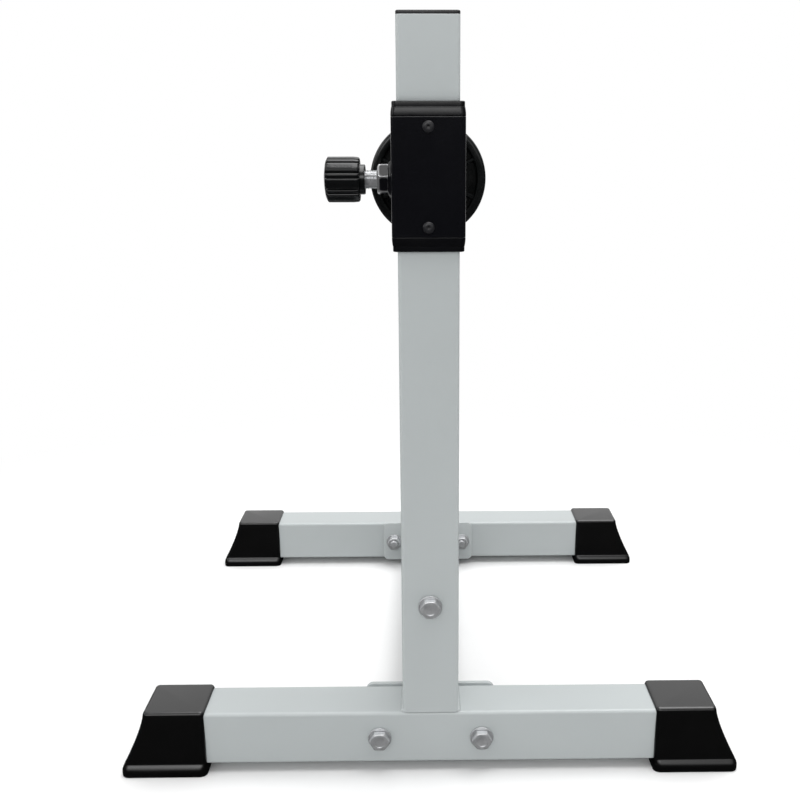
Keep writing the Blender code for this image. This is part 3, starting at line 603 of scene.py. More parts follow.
def hex_bolt_mesh(flats, head, diameter, length, pitch, thread):
    """A hex bolt along Z with its seat at 0, its head below and its shank above."""
    dish = flats * HEAD_DISH_REACH
    soft = HEAD_SOFT
    side = hex_reach(flats / 2)
    profile = [
        (soft, HEAD_DISH - head),
        (dish, HEAD_DISH - head),
        (dish + soft, HEAD_DISH * 0.7 - head),
        (dish + 2.4 * soft, HEAD_DISH * 0.1 - head),
        (dish + 3.4 * soft, -head),
    ]
    profile += hex_edge(flats, -head, 1)
    profile += [
        (side, -WASHER_FACE - soft),
        (lambda a: side(a) - soft, -WASHER_FACE),
        (flats * WASHER_FACE_ROOT, -WASHER_FACE),
        (flats * WASHER_FACE_RIM, 0),
        (diameter / 2, 0),
        (diameter / 2, length - thread),
    ]
    tip = diameter / 2 - pitch * THREAD_DEPTH
    profile += thread_profile(diameter, pitch, length - thread, length - THREAD_END * pitch)
    return spun(profile + [(tip, length), (soft, length)])


def nut_mesh(flats, height, bore, welded=False, turn=0.0):
    """A hex nut along Z from 0. Its top is chamfered, and so is its foot unless it is welded."""
    side = hex_reach(flats / 2, turn)
    bore = bore / 2
    profile = [(bore, NUT_MOUTH), (bore + NUT_MOUTH, 0)]
    profile += [(side, 0)] if welded else hex_edge(flats, 0, 1, turn)
    profile += [(side, height * share) for share in NUT_SHARES]
    profile += hex_edge(flats, height, -1, turn)[::-1]
    profile += [(bore + NUT_MOUTH, height), (bore, height - NUT_MOUTH)]
    return spun(profile, wrapped=True)


def make_washer(node, axle, bore, edge=WASHER_EDGE):
    """A washer or bush in the place of a node, about an axle's middle and along Y."""
    low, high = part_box(node)
    outer = (high.x - low.x) / 2
    thickness = high.y - low.y
    corners = [
        (outer, 0, edge),
        (outer, thickness, edge),
        (bore / 2, thickness, edge / 2),
        (bore / 2, 0, edge / 2),
    ]
    mesh = spun(filleted(corners), ROUND_STEPS, wrapped=True)
    dress(node, mesh, (axle.x, low.y, axle.z), "Y")


# Node materials


def feed(tree, socket, value):
    """Sets a socket to a value, or links it to another socket. A colour needs no alpha."""
    if isinstance(value, bpy.types.NodeSocket):
        tree.links.new(value, socket)
    elif socket.type == "RGBA":
        socket.default_value = (*value, 1.0)
    else:
        socket.default_value = value


def node(tree, kind, inputs=None, **settings):
    """A node whose inputs, by name or number, are values or sockets."""
    made = tree.nodes.new(kind)
    for name, value in settings.items():
        setattr(made, name, value)
    for key, value in (inputs or {}).items():
        feed(tree, made.inputs[key], value)
    return made


def pattern(tree, scale, detail, stretch=(1, 1, 1), warp=0.0, offset=(0, 0, 0)):
    """Smooth noise with features about 1/scale metres wide."""
    place = node(tree, "ShaderNodeTexCoord").outputs["Object"]
    inputs = {"Vector": place, "Location": offset, "Scale": stretch}
    shifted = node(tree, "ShaderNodeMapping", inputs).outputs[0]
    inputs = {"Vector": shifted, "Scale": scale, "Detail": detail, "Distortion": warp}
    return node(tree, "ShaderNodeTexNoise", inputs).outputs[0]


def cells(tree, scale):
    """Distance to the nearest of scattered points, about 1/scale metres apart."""
    place = node(tree, "ShaderNodeTexCoord").outputs["Object"]
    made = node(tree, "ShaderNodeTexVoronoi", {"Vector": place, "Scale": scale})
    return made.outputs["Distance"]


def ranged(tree, value, low, high, start=0.3, end=0.7):
    """A value from start to end mapped onto low to high, and held there beyond."""
    inputs = {"Value": value, "From Min": start, "From Max": end, "To Min": low, "To Max": high}
    return node(tree, "ShaderNodeMapRange", inputs).outputs[0]


def maths(tree, operation, first, second):
    return node(tree, "ShaderNodeMath", {0: first, 1: second}, operation=operation).outputs[0]


def blended(tree, factor, first, second):
    """One colour turning into another."""
    inputs = {0: factor, 6: first, 7: second}
    return node(tree, "ShaderNodeMix", inputs, data_type="RGBA").outputs[2]


def bump(tree, height, distance, strength, below=None):
    inputs = {"Height": height, "Distance": distance, "Strength": strength}
    if below:
        inputs["Normal"] = below
    return node(tree, "ShaderNodeBump", inputs).outputs[0]


def edges(tree, start=0.505, end=0.56):
    """1 on outward edges and 0 on flats."""
    sharpness = node(tree, "ShaderNodeNewGeometry").outputs["Pointiness"]
    return ranged(tree, sharpness, 0.0, 1.0, start, end)


def cloudy(tree, scale, detail, first, second, start=0.3, end=0.7):
    """A tint that drifts between two colours."""
    cloud = ranged(tree, pattern(tree, scale, detail), 0.0, 1.0, start, end)
    return blended(tree, cloud, first, second)


def edge_wear_and_highlight(tree, tint, on_edges, scale, detail, low, high):
    """A tint that turns into another colour on its outward edges, here more and there less: worn
    paint, and on the frame paint a painted highlight too.
    """
    uneven = ranged(tree, pattern(tree, scale, detail), low, high)
    return blended(tree, maths(tree, "MULTIPLY", edges(tree), uneven), tint, on_edges)


def new_tree(name):
    made = bpy.data.materials.new(name)
    made.use_nodes = True
    return made.node_tree


def principled(name, tint, rough, normal, **more):
    """The finished material of a name, whose inputs are values or sockets of its own tree."""
    made = bpy.data.materials[name]
    shader = made.node_tree.nodes["Principled BSDF"]
    inputs = {"Base Color": tint, "Roughness": rough, "Normal": normal, **more}
    for key, value in inputs.items():
        feed(made.node_tree, shader.inputs[key.replace("_", " ")], value)
    return made


def shade(colour, factor):
    return tuple(channel * factor for channel in colour)


def frame_paint():
    """Silver-grey powder coat: slightly cloudy and specked, with orange peel, and outward edges
    lightened partly as wear and partly as a painted highlight.
    """
    tree = new_tree("frame_paint_finish")
    grey = (0.492, 0.527, 0.530)
    tint = cloudy(tree, 9, 2, shade(grey, 0.975), shade(grey, 1.025), 0.1, 0.9)
    speck = ranged(tree, pattern(tree, 1500, 1), 0.0, 1.0, 0.35, 0.65)
    tint = blended(tree, maths(tree, "MULTIPLY", speck, 0.12), tint, shade(grey, 0.92))
    # The outward edges lighten to pale grey: partly worn paint, partly a painted highlight along
    # the rounded tube edges.
    tint = edge_wear_and_highlight(tree, tint, (0.64, 0.66, 0.665), 90, 3, 0.25, 0.7)
    rough = ranged(tree, pattern(tree, 18, 3, offset=(3, 1, 2)), 0.24, 0.27, 0.1, 0.9)
    peel = bump(tree, pattern(tree, 520, 1, warp=0.4), 0.00006, 0.08)
    peel = bump(tree, pattern(tree, 2600, 1), 0.000012, 0.06, peel)
    return principled("frame_paint_finish", tint, rough, peel)


def sleeve_paint(name="sleeve_paint_finish", bare_edges=False):
    """Gloss black paint over steel, with orange peel, fine rub marks and worn edges."""
    tree = new_tree(name)
    tint = cloudy(tree, 11, 3, (0.0034, 0.0035, 0.0049), (0.0044, 0.0046, 0.0061))
    tint = edge_wear_and_highlight(tree, tint, (0.012, 0.012, 0.014), 160, 3, 0.0, 0.3)
    smears = ranged(tree, pattern(tree, 26, 5, offset=(5, 2, 8)), 0.09, 0.15)
    rubs = pattern(tree, 420, 3, stretch=(1, 1, 0.06))
    rough = maths(tree, "ADD", smears, ranged(tree, rubs, 0.0, 0.02, 0.5, 0.75))
    peel = bump(tree, pattern(tree, 480, 1.5, warp=0.5), 0.00004, 0.25)
    more = {}
    if bare_edges:
        on_edges = edges(tree, 0.51, 0.57)
        tint = blended(tree, on_edges, tint, (0.62, 0.62, 0.63))
        more = {"Metallic": on_edges, "Specular_IOR_Level": 0.22}
    return principled(name, tint, rough, peel, **more)


def rubber(name, tone, low, high, grain, shine=0.5):
    """Moulded rubber or soft plastic with a fine grain and scuffed edges."""
    tree = new_tree(name)
    tint = cloudy(tree, 24, 4, tone, shade(tone, 1.45))
    tint = edge_wear_and_highlight(tree, tint, shade(tone, 4), 130, 4, 0.0, 0.3)
    rough = ranged(tree, pattern(tree, 40, 4, offset=(1, 7, 3)), low, high)
    surface = bump(tree, cells(tree, 1900), 0.00003, grain)
    surface = bump(tree, pattern(tree, 210, 3), 0.00012, grain * 0.6, surface)
    return principled(name, tint, rough, surface, Specular_IOR_Level=shine)


def gloss_plastic(name, tone, low, high):
    """Hard moulded plastic with flow marks and fine scratches."""
    tree = new_tree(name)
    tint = cloudy(tree, 30, 3, tone, shade(tone, 1.35))
    tint = edge_wear_and_highlight(tree, tint, shade(tone, 5), 220, 3, 0.0, 0.4)
    rough = ranged(tree, pattern(tree, 55, 4, offset=(2, 4, 6)), low, high)
    scratch = pattern(tree, 700, 2, stretch=(0.05, 1, 1), offset=(9, 9, 1))
    rough = maths(tree, "ADD", rough, ranged(tree, scratch, 0.0, 0.03, 0.6, 0.75))
    flow = bump(tree, pattern(tree, 260, 2, warp=0.8), 0.00004, 0.5)
    return principled(name, tint, rough, flow)


def zinc():
    """Zinc plate: dull blue-grey with spangled patches and fine marks, and a painted highlight that
    brightens its edges.
    """
    tree = new_tree("zinc_plate_finish")
    tint = cloudy(tree, 150, 4, (0.56, 0.57, 0.585), (0.72, 0.73, 0.745))
    # Painted highlight: the outward edges are lightened towards pale grey.
    painted_edge_highlight = maths(tree, "MULTIPLY", edges(tree, 0.51, 0.60), 0.7)
    tint = blended(tree, painted_edge_highlight, tint, (0.80, 0.81, 0.82))
    rough = ranged(tree, pattern(tree, 320, 4, offset=(4, 4, 4)), 0.28, 0.44)
    marks = bump(tree, pattern(tree, 900, 3), 0.00004, 0.5)
    return principled("zinc_plate_finish", tint, rough, marks, Metallic=0.66)


def chrome():
    """Bright plated steel with faint smears."""
    tree = new_tree("barrel_chrome_finish")
    tint = cloudy(tree, 190, 3, (0.62, 0.63, 0.64), (0.74, 0.74, 0.75))
    rough = ranged(tree, pattern(tree, 240, 4, offset=(6, 1, 1)), 0.15, 0.27)
    marks = bump(tree, pattern(tree, 1200, 2), 0.00002, 0.4)
    return principled("barrel_chrome_finish", tint, rough, marks, Metallic=0.72)


def foam():
    """Closed-cell foam: matt black with fine open pores, darkened inside as painted shade, and a
    faint bloom.
    """
    tree = new_tree("roller_foam_finish")
    tone = (0.0075, 0.0076, 0.0080)
    tint = cloudy(tree, 16, 4, tone, shade(tone, 1.5))
    pores = ranged(tree, cells(tree, 720), 0.0, 1.0, 0.10, 0.42)
    fine = ranged(tree, cells(tree, 1900), 0.0, 1.0, 0.05, 0.45)
    # Painted shade: the colour darkens in the pits of the pores.
    tint = blended(tree, maths(tree, "MULTIPLY", pores, 0.8), shade(tone, 0.35), tint)
    rough = ranged(tree, pattern(tree, 60, 3, offset=(1, 1, 8)), 0.62, 0.80)
    surface = bump(tree, pores, 0.00022, 0.55)
    surface = bump(tree, fine, 0.00008, 0.5, surface)
    surface = bump(tree, pattern(tree, 90, 3), 0.0005, 0.35, surface)
    return principled("roller_foam_finish", tint, rough, surface, Sheen_Weight=0.08)


PLUG_BLACK = (0.011, 0.011, 0.012)
BOOT_BLACK = (0.0008, 0.0008, 0.0009)
LINER_BLACK = (0.0018, 0.0019, 0.0027)
SCREW_BLACK = (0.012, 0.012, 0.014)
KNOB_BLACK = (0.0026, 0.0030, 0.0034)
CAP_BLACK = (0.0040, 0.0047, 0.0048)
FINISHES = {
    "frame_paint": frame_paint(),
    "sleeve_paint": sleeve_paint(),
    "plug_plastic": rubber("plug_plastic_finish", PLUG_BLACK, 0.34, 0.46, 0.3),
    "boot_rubber": rubber("boot_rubber_finish", BOOT_BLACK, 0.22, 0.27, 0.12, 0.74),
    "zinc_plate": zinc(),
    "liner_nylon": rubber("liner_nylon_finish", LINER_BLACK, 0.20, 0.27, 0.12, 0.42),
    "black_screw": gloss_plastic("black_screw_finish", SCREW_BLACK, 0.28, 0.38),
    "barrel_chrome": chrome(),
    "knob_plastic": gloss_plastic("knob_plastic_finish", KNOB_BLACK, 0.17, 0.24),
    "cap_plastic": gloss_plastic("cap_plastic_finish", CAP_BLACK, 0.14, 0.24),
    "roller_foam": foam(),
}


# The frame


def make_feet():
    """The two foot tubes, with a pair of bolt holes through each."""
    for row in ("front", "rear"):
        foot = row + "_foot_tube"
        low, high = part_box(foot)
        guides = bolt_holes(row_bolts(row), low.y - TUBE_WALL, 3 * (high.z - low.z) / 2)
        dress(foot, drilled(square_tube(foot, "X"), guides))


def make_upright():
    """The upright, with its setting holes on the left, the brace bolt's hole and its welds."""
    low, high, centre = spans("upright_tube")
    half = (high.x - low.x) / 2
    pin = middle("pull_pin").z
    guides = []
    for step in range(-HOLES_BELOW, HOLES_ABOVE + 1):
        at = (low.x - TUBE_WALL, centre.y, pin + HOLE_PITCH * step)
        guides.append(drill(at, "X", PIN_HOLE, 3 * TUBE_WALL))
    guides += bolt_holes(["brace_bolt"], low.y - TUBE_WALL, 3 * half)
    dress("upright_tube", drilled(square_tube("upright_tube", "Z"), guides))

    edge = TUBE_CORNER
    for side, sign in (("left", -1), ("right", 1)):
        x = centre.x + sign * half
        turns = [(x - sign * edge * 0.6, low.y + edge * 0.3), (x, low.y + edge), (x, high.y - edge)]
        path = [(Vector((*at, low.z)), Vector((sign, 0, 0)), Vector((0, 0, 1))) for at in turns]
        add_on(f"upright_{side}_weld", bead(path, False, phase=sign), "upright_tube")


def make_plug():
    """The plug: a cap with a soft edge over the tube, and a hollow skirt inside it."""
    low, high, centre = spans("upright_top_plug")
    half = (high.x - low.x) / 2
    inner = half - TUBE_WALL - FIT_GAP
    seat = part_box("upright_tube")[1].z + FIT_GAP
    corners = [
        (inner - PLUG_WALL, seat, 0),
        (inner - PLUG_WALL, low.z, 0.0003),
        (inner, low.z, 0.0006),
        (inner, seat, 0),
        (half, seat, 0.0003),
        (half, high.z, PLUG_EDGE),
        (half * 0.5, high.z, 0),
    ]
    levels = []
    for across, up in filleted(corners, closed=False):
        levels.append((across, max(TUBE_CORNER - (half - across), PLUG_CORNER), up))
    dress("upright_top_plug", squared(levels), (centre.x, centre.y, 0))


def make_beam():
    dress("main_beam_tube", square_tube("main_beam_tube", "Y"))


def make_plate(node, bolts=()):
    """A flat plate across Y with round corners and broken edges, and its bolts' holes."""
    low, high, centre = spans(node)
    half_x = (high.x - low.x) / 2
    half_z = (high.z - low.z) / 2
    thickness = high.y - low.y
    insets = edge_insets(PLATE_EDGE)
    rings = []
    for inset, height in insets + [(inset, thickness - depth) for inset, depth in insets[::-1]]:
        corner = PLATE_CORNER - inset
        rings.append(rounded_rectangle(half_x - inset, half_z - inset, corner, height))
    mesh = moved(skin(rings), (centre.x, low.y, centre.z), "Y")
    if bolts:
        mesh = drilled(mesh, bolt_holes(bolts, low.y - thickness, 3 * thickness))
    dress(node, mesh)


def make_beam_plates():
    """The bolted plates, and the weld that joins the beam to each."""
    beam_low, beam_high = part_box("main_beam_tube")
    half = (beam_high.x - beam_low.x) / 2
    for row, axis in (("front", "Y"), ("rear", "-Y")):
        plate = f"beam_{row}_plate"
        make_plate(plate, row_bolts(row))
        low, high, centre = spans(plate)
        seam = placed((centre.x, high.y if row == "front" else low.y, centre.z), axis)
        path = loop_corners(half, half, TUBE_CORNER, seam)
        add_on(f"beam_{row}_weld", bead(path, True, PLATE_BEAD_LEG), plate)


def brace_ring(half, corner, axis):
    """The brace's section where it ends: at the wall across axis 1, or the floor across axis 2."""
    low, high, centre = spans("brace_tube")
    full = (high.x - low.x) / 2
    start = Vector((centre.x, low.y, high.z - full / math.cos(BRACE_SLOPE)))
    along = Vector((0, math.cos(BRACE_SLOPE), -math.sin(BRACE_SLOPE)))
    across = Vector((0, math.sin(BRACE_SLOPE), math.cos(BRACE_SLOPE)))
    ring = []
    for x, rise, _ in rounded_rectangle(half, half, corner):
        point = start + Vector((x, 0, 0)) + across * rise
        ring.append(point + along * ((low[axis] - point[axis]) / along[axis]))
    return ring


def make_brace():
    """The brace, its plate with the bolt's hole, and the welds at both its ends."""
    make_plate("brace_plate", ["brace_bolt"])
    low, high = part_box("brace_tube")
    half = (high.x - low.x) / 2
    ends = [brace_ring(half, BRACE_CORNER, axis) for axis in (1, 2)]
    outer = [[a.lerp(b, share) for a, b in zip(*ends)] for share in BRACE_SHARES]
    inner = [brace_ring(half - TUBE_WALL, BRACE_CORNER / 2, axis) for axis in (2, 1)]
    dress("brace_tube", skin(outer + inner, wrapped=True))

    for ring, up, name in (
        (outer[0], Vector((0, 1, 0)), "brace_upper_weld"),
        (outer[-1], Vector((0, 0, 1)), "brace_lower_weld"),
    ):
        hub = sum(ring, Vector()) / len(ring)
        path = []
        for i, point in enumerate(ring):
            tangent = ring[(i + 1) % len(ring)] - ring[i - 1]
            out = tangent.cross(up).normalized()
            if out.dot(point - hub) < 0:
                out = -out
            path.append((point, out, up.copy()))
        add_on(name, bead(path, True, phase=len(name)), "brace_tube")


def boot_ring(box, height, inset, flare, lip, corner):
    """One level of the +X boot: inset from its top edge, flared outwards, or out to its lip."""
    inner, outer, half = box
    near = inner + inset - BOOT_LIP_INNER * lip
    far = outer - inset + BOOT_FLARE * flare**BOOT_FLARE_POWER + BOOT_LIP_OUTER * lip
    depth = half - inset + BOOT_SIDE_FLARE * flare + BOOT_LIP * lip
    ring = rounded_rectangle((far - near) / 2, depth, corner, height)
    return [((near + far) / 2 + x, y, z) for x, y, z in ring]


def boot_mesh(low, high):
    """A boot on the +X side, about its tube's middle line."""
    end = high.x - BOOT_LIP_OUTER - BOOT_FLARE
    half = (high.y - low.y) / 2 - BOOT_LIP - BOOT_SIDE_FLARE
    box = (low.x + BOOT_LIP_INNER, end, half)
    shoulder = high.z - BOOT_EDGE
    rings = []
    for inset, depth in edge_insets(BOOT_EDGE, 6):
        corner = max(BOOT_CORNER - inset, BOOT_TOP_CORNER)
        rings.append(boot_ring(box, high.z - depth, inset, 0, 0, corner))
    for level in range(1, BOOT_LEVELS + 1):
        share = level / BOOT_LEVELS
        height = shoulder + (BOOT_LIP_HEIGHT - shoulder) * share
        rings.append(boot_ring(box, height, 0, share, 0, BOOT_CORNER))
    lip = [(0.97, 0.03), (0.94, 0.09), (0.90, 0.18), (0.85, 0.31), (0.79, 0.46), (0.72, 0.62)]
    lip += [(0.65, 0.76), (0.58, 0.87), (0.51, 0.95), (0.44, 1.0)]
    lip += [(0.14, 1.0), (0.07, 0.96), (0.03, 0.89), (0.0, 0.78)]
    for height, out in lip:
        corner = BOOT_CORNER + BOOT_LIP * out
        rings.append(boot_ring(box, BOOT_LIP_HEIGHT * height, 0, 1, out, corner))
    return skin(rings, angle=MOULDED_SMOOTH_ANGLE)


def make_boots():
    """Four boots, each with a square socket for its tube."""
    for row in ("front", "rear"):
        foot_low, foot_high, centre = spans(row + "_foot_tube")
        half = (foot_high.z - foot_low.z) / 2 + FIT_GAP
        low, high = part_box(row + "_right_boot")
        ends = (low.x - SOCKET_OVERRUN, foot_high.x + FIT_GAP)
        for side, turn in (("right", 0.0), ("left", math.pi)):
            socket = squared([(half, TUBE_CORNER, end) for end in ends])
            guide = moved(socket, (0, 0, centre.z), "X")
            mesh = carved(boot_mesh(low, high), [guide], BOOT_MOUTH)
            mesh.transform(Matrix.Translation((0, centre.y, 0)) @ Matrix.Rotation(turn, 4, "Z"))
            dress(f"{row}_{side}_boot", mesh)


def make_bolts():
    """Five bolt sets: a bolt, two washers and a nut."""
    for name, axis in BOLT_AXES.items():
        low, high, centre = spans(name + "_bolt")
        washer_low, washer_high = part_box(name + "_head_washer")
        start, seat, end = low.y, washer_low.y - FIT_GAP, high.y
        if axis == "-Y":
            start, seat, end = high.y, washer_high.y + FIT_GAP, low.y
        head, length = abs(seat - start), abs(end - seat)
        mesh = hex_bolt_mesh(high.z - low.z, head, BOLT_DIAMETER, length, BOLT_PITCH, BOLT_THREAD)
        dress(name + "_bolt", mesh, (centre.x, seat, centre.z), axis)
        make_washer(name + "_head_washer", centre, BOLT_HOLE)
        make_washer(name + "_nut_washer", centre, BOLT_HOLE)
        low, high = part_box(name + "_nut")
        mesh = nut_mesh(high.z - low.z, high.y - low.y, BOLT_HOLE)
        dress(name + "_nut", mesh, (centre.x, low.y, centre.z), "Y")


# The sleeve


def make_sleeve():
    low, _, centre = spans("sleeve_tube")
    at = (low.x - TUBE_WALL, centre.y, middle("pull_pin").z)
    guides = [drill(at, "X", PIN_HOLE, 3 * TUBE_WALL)]
    for name in ("upper_liner_screw", "lower_liner_screw"):
        at = (centre.x, low.y - TUBE_WALL, middle(name).z)
        guides.append(drill(at, "Y", SCREW_HOLE, 3 * TUBE_WALL))
    dress("sleeve_tube", drilled(square_tube("sleeve_tube", "Z", SLEEVE_CORNER), guides))


def make_liners():
    """The two liners: a body in the sleeve, and a collar that draws in to an upright lip."""
    tube_low, tube_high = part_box("upright_tube")
    bore = (tube_high.x - tube_low.x) / 2 + FIT_GAP
    sleeve_low, sleeve_high, centre = spans("sleeve_tube")
    half = (sleeve_high.x - sleeve_low.x) / 2
    body = half - TUBE_WALL - FIT_GAP
    lip = COLLAR_DRAW + COLLAR_STEP
    for name, edge, axis in (("upper", sleeve_high.z, "Z"), ("lower", sleeve_low.z, "-Z")):
        low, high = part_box(name + "_liner")
        top, depth = sorted((abs(low.z - edge), abs(high.z - edge)))
        corners = [
            (bore, top, LINER_EDGE),
            (bore, -depth, 0),
            (body, -depth, LINER_EDGE),
            (body, FIT_GAP, 0),
        ]
        levels = [(across, TUBE_CORNER, up) for across, up in filleted(corners)]
        for inset, up in edge_insets(COLLAR_EDGE):
            levels.append((half - inset, SLEEVE_CORNER, FIT_GAP + up))
        for level in range(1, COLLAR_LEVELS + 1):
            share = level / COLLAR_LEVELS
            up = FIT_GAP + COLLAR_EDGE + (COLLAR_SHOULDER - COLLAR_EDGE) * share
            levels.append((half - COLLAR_DRAW * share**2, SLEEVE_CORNER, up))
        levels.append((half - lip, SLEEVE_CORNER, FIT_GAP + COLLAR_SHOULDER + COLLAR_STEP))
        for inset, down in edge_insets(COLLAR_ROUND, 5)[::-1]:
            levels.append((half - lip - inset, SLEEVE_CORNER - inset / 2, top - down))
        mesh = moved(squared(levels, wrapped=True), (centre.x, centre.y, edge), axis)
        at = (centre.x, sleeve_low.y, middle(name + "_liner_screw").z)
        hole = drill(at, "Y", SCREW_HOLE, 2 * half)
        dress(name + "_liner", carved(mesh, [hole], 0))


def make_screws():
    """Button-head screws with a hex socket, in the sleeve's front."""
    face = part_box("sleeve_tube")[0].y - FIT_GAP
    socket = hex_reach(SOCKET_FLATS / 2)
    for name in ("upper_liner_screw", "lower_liner_screw"):
        low, high, centre = spans(name)
        rise = face - low.y
        head = (high.x - low.x) / 2
        profile = [
            (0.0001, rise - SOCKET_DEPTH - 0.0004),
            (socket, rise - SOCKET_DEPTH),
            (socket, rise - 0.0003),
            (lambda a: socket(a) + 0.0002, rise - 0.00005),
            (head * SCREW_FLAT, rise),
        ]
        for step in range(1, SCREW_STEPS + 1):
            turn = math.radians(90) * step / SCREW_STEPS
            reach = head * (SCREW_FLAT + (1 - SCREW_FLAT) * math.sin(turn))
            profile.append((reach, rise * (0.2 + 0.8 * math.cos(turn))))
        profile += [
            (head, rise * 0.06),
            (head - 0.0002, 0),
            (SCREW_SHANK, 0),
            (SCREW_SHANK, face - high.y),
        ]
        dress(name, spun(profile), (centre.x, face, centre.z), "-Y")


def make_pin_housing():
    """The nut welded to the sleeve, its fillet, and the threaded barrel."""
    low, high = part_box("pin_boss_nut")
    barrel_low, barrel_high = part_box("pin_barrel")
    pin = middle("pull_pin")
    diameter = barrel_high.z - barrel_low.z
    at = (high.x, pin.y, pin.z)
    bore = diameter + 2 * FIT_GAP
    mesh = nut_mesh(BOSS_FLATS, high.x - low.x, bore, welded=True, turn=BOSS_TURN)
    nut = dress("pin_boss_nut", mesh, at, "-X")
    nut.data.materials[0] = sleeve_paint("boss_nut_finish", bare_edges=True)

    seam = placed(at, "-X")
    side = hex_reach(BOSS_FLATS / 2, BOSS_TURN)

    def on_side(angle):
        return Vector((math.cos(angle), math.sin(angle), 0)) * side(angle)

    path = []
    for i in range(BOSS_STATIONS):
        angle = 2 * math.pi * i / BOSS_STATIONS
        here = on_side(angle)
        out = (on_side(angle + BOSS_STEP) - here).cross(Vector((0, 0, 1))).normalized()
        path.append((seam @ here, seam.to_3x3() @ out, Vector((-1, 0, 0))))
    add_on("boss_nut_weld", bead(path, True, BOSS_BEAD_LEG, phase=1.3), "pin_boss_nut")

    start = high.x - barrel_high.x
    end = high.x - barrel_low.x
    outer = diameter / 2
    profile = [(BARREL_BORE / 2, start), (outer - BARREL_PITCH * THREAD_DEPTH, start)]
    profile += thread_profile(diameter, BARREL_PITCH, start + BARREL_RELIEF, end - BARREL_CHAMFER)
    profile += [
        (outer - BARREL_CHAMFER, end),
        (BARREL_MOUTH, end),
        (BARREL_MOUTH, end - BARREL_END_WALL),
        (BARREL_BORE / 2, end - BARREL_END_WALL),
    ]
    dress("pin_barrel", spun(profile, wrapped=True), at, "-X")


def make_knob():
    """The fluted knob, with a bore that passes over the barrel and a domed end."""
    low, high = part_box("pull_knob")
    pin = middle("pull_pin")
    length = high.x - low.x
    grip = (high.z - low.z) / 2
    shoulder = KNOB_SHOULDER_DIAMETER / 2
    corners = [
        (KNOB_BORE / 2, KNOB_BORE_DEPTH, 0),
        (KNOB_BORE / 2, 0, 0.0004),
        (shoulder, 0, 0.0009),
        (shoulder, KNOB_SHOULDER_LENGTH, 0.0006),
        (grip - 0.0006, KNOB_SHOULDER_LENGTH, KNOB_EDGE),
        (grip, KNOB_SHOULDER_LENGTH + 0.006, 0.004),
        (grip, length - KNOB_DOME, 0.0016),
        (grip * 0.80, length - KNOB_DOME * 0.42, 0.004),
        (grip * 0.36, length, 0.006),
        (0.0003, length, 0),
    ]
    outline = [Vector(point) for point in filleted(corners, closed=False, steps=6)]
    full = []
    for before, after in zip(outline, outline[1:]):
        spans = max(1, math.ceil((after - before).length / KNOB_SPAN))
        full += [before.lerp(after, i / spans) for i in range(spans)]
    full.append(outline[-1])
    pitch = 2 * math.pi / KNOB_FLUTES
    profile = []
    for radius, at in full:
        rise = (radius - grip * KNOB_FLUTE_START) / (grip * KNOB_FLUTE_BLEND)
        depth = KNOB_FLUTE_DEPTH * soft_step(rise)

        def reach(angle, radius=radius, depth=depth):
            off = abs(((angle - KNOB_TURN) / pitch + 0.5) % 1.0 - 0.5) * pitch
            groove = math.exp(-(((off - KNOB_GROOVE_AT) / KNOB_GROOVE_WIDTH) ** 2))
            crown = KNOB_CROWN * min(1.0, (off / KNOB_GROOVE_AT) ** 2)
            return radius - depth * max(groove, crown * (off < KNOB_GROOVE_AT))

        profile.append((reach, at))
    mesh = spun(profile, KNOB_FLUTES * KNOB_FLUTE_STEPS, angle=MOULDED_SMOOTH_ANGLE)
    dress("pull_knob", mesh, (high.x, pin.y, pin.z), "-X")


def make_axle_flange():
    """The flange on the sleeve's back, with its weld."""
    make_plate("axle_flange")
    low, high, centre = spans("axle_flange")
    seam = placed((centre.x, low.y - FIT_GAP, centre.z), "Y")
    path = loop_corners((high.x - low.x) / 2, (high.z - low.z) / 2, PLATE_CORNER, seam)
    add_on("axle_flange_weld", bead(path, True, FLANGE_BEAD_LEG, phase=0.7), "axle_flange")


def make_axle_rings():
    """The thrust washer, the end washer and the end bolt."""
    axle = middle("roller_axle")
    make_washer("axle_thrust_washer", axle, AXLE_BORE, THRUST_WASHER_EDGE)
    make_washer("axle_end_washer", axle, END_WASHER_BORE)
    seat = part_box("axle_end_washer")[1].y + FIT_GAP
    low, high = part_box("axle_end_bolt")
    flats, head, length = high.z - low.z, high.y - seat, seat - low.y
    sizes = (END_BOLT_DIAMETER, length, END_BOLT_PITCH, END_BOLT_THREAD)
    dress("axle_end_bolt", hex_bolt_mesh(flats, head, *sizes), (axle.x, seat, axle.z), "-Y")


# The roller


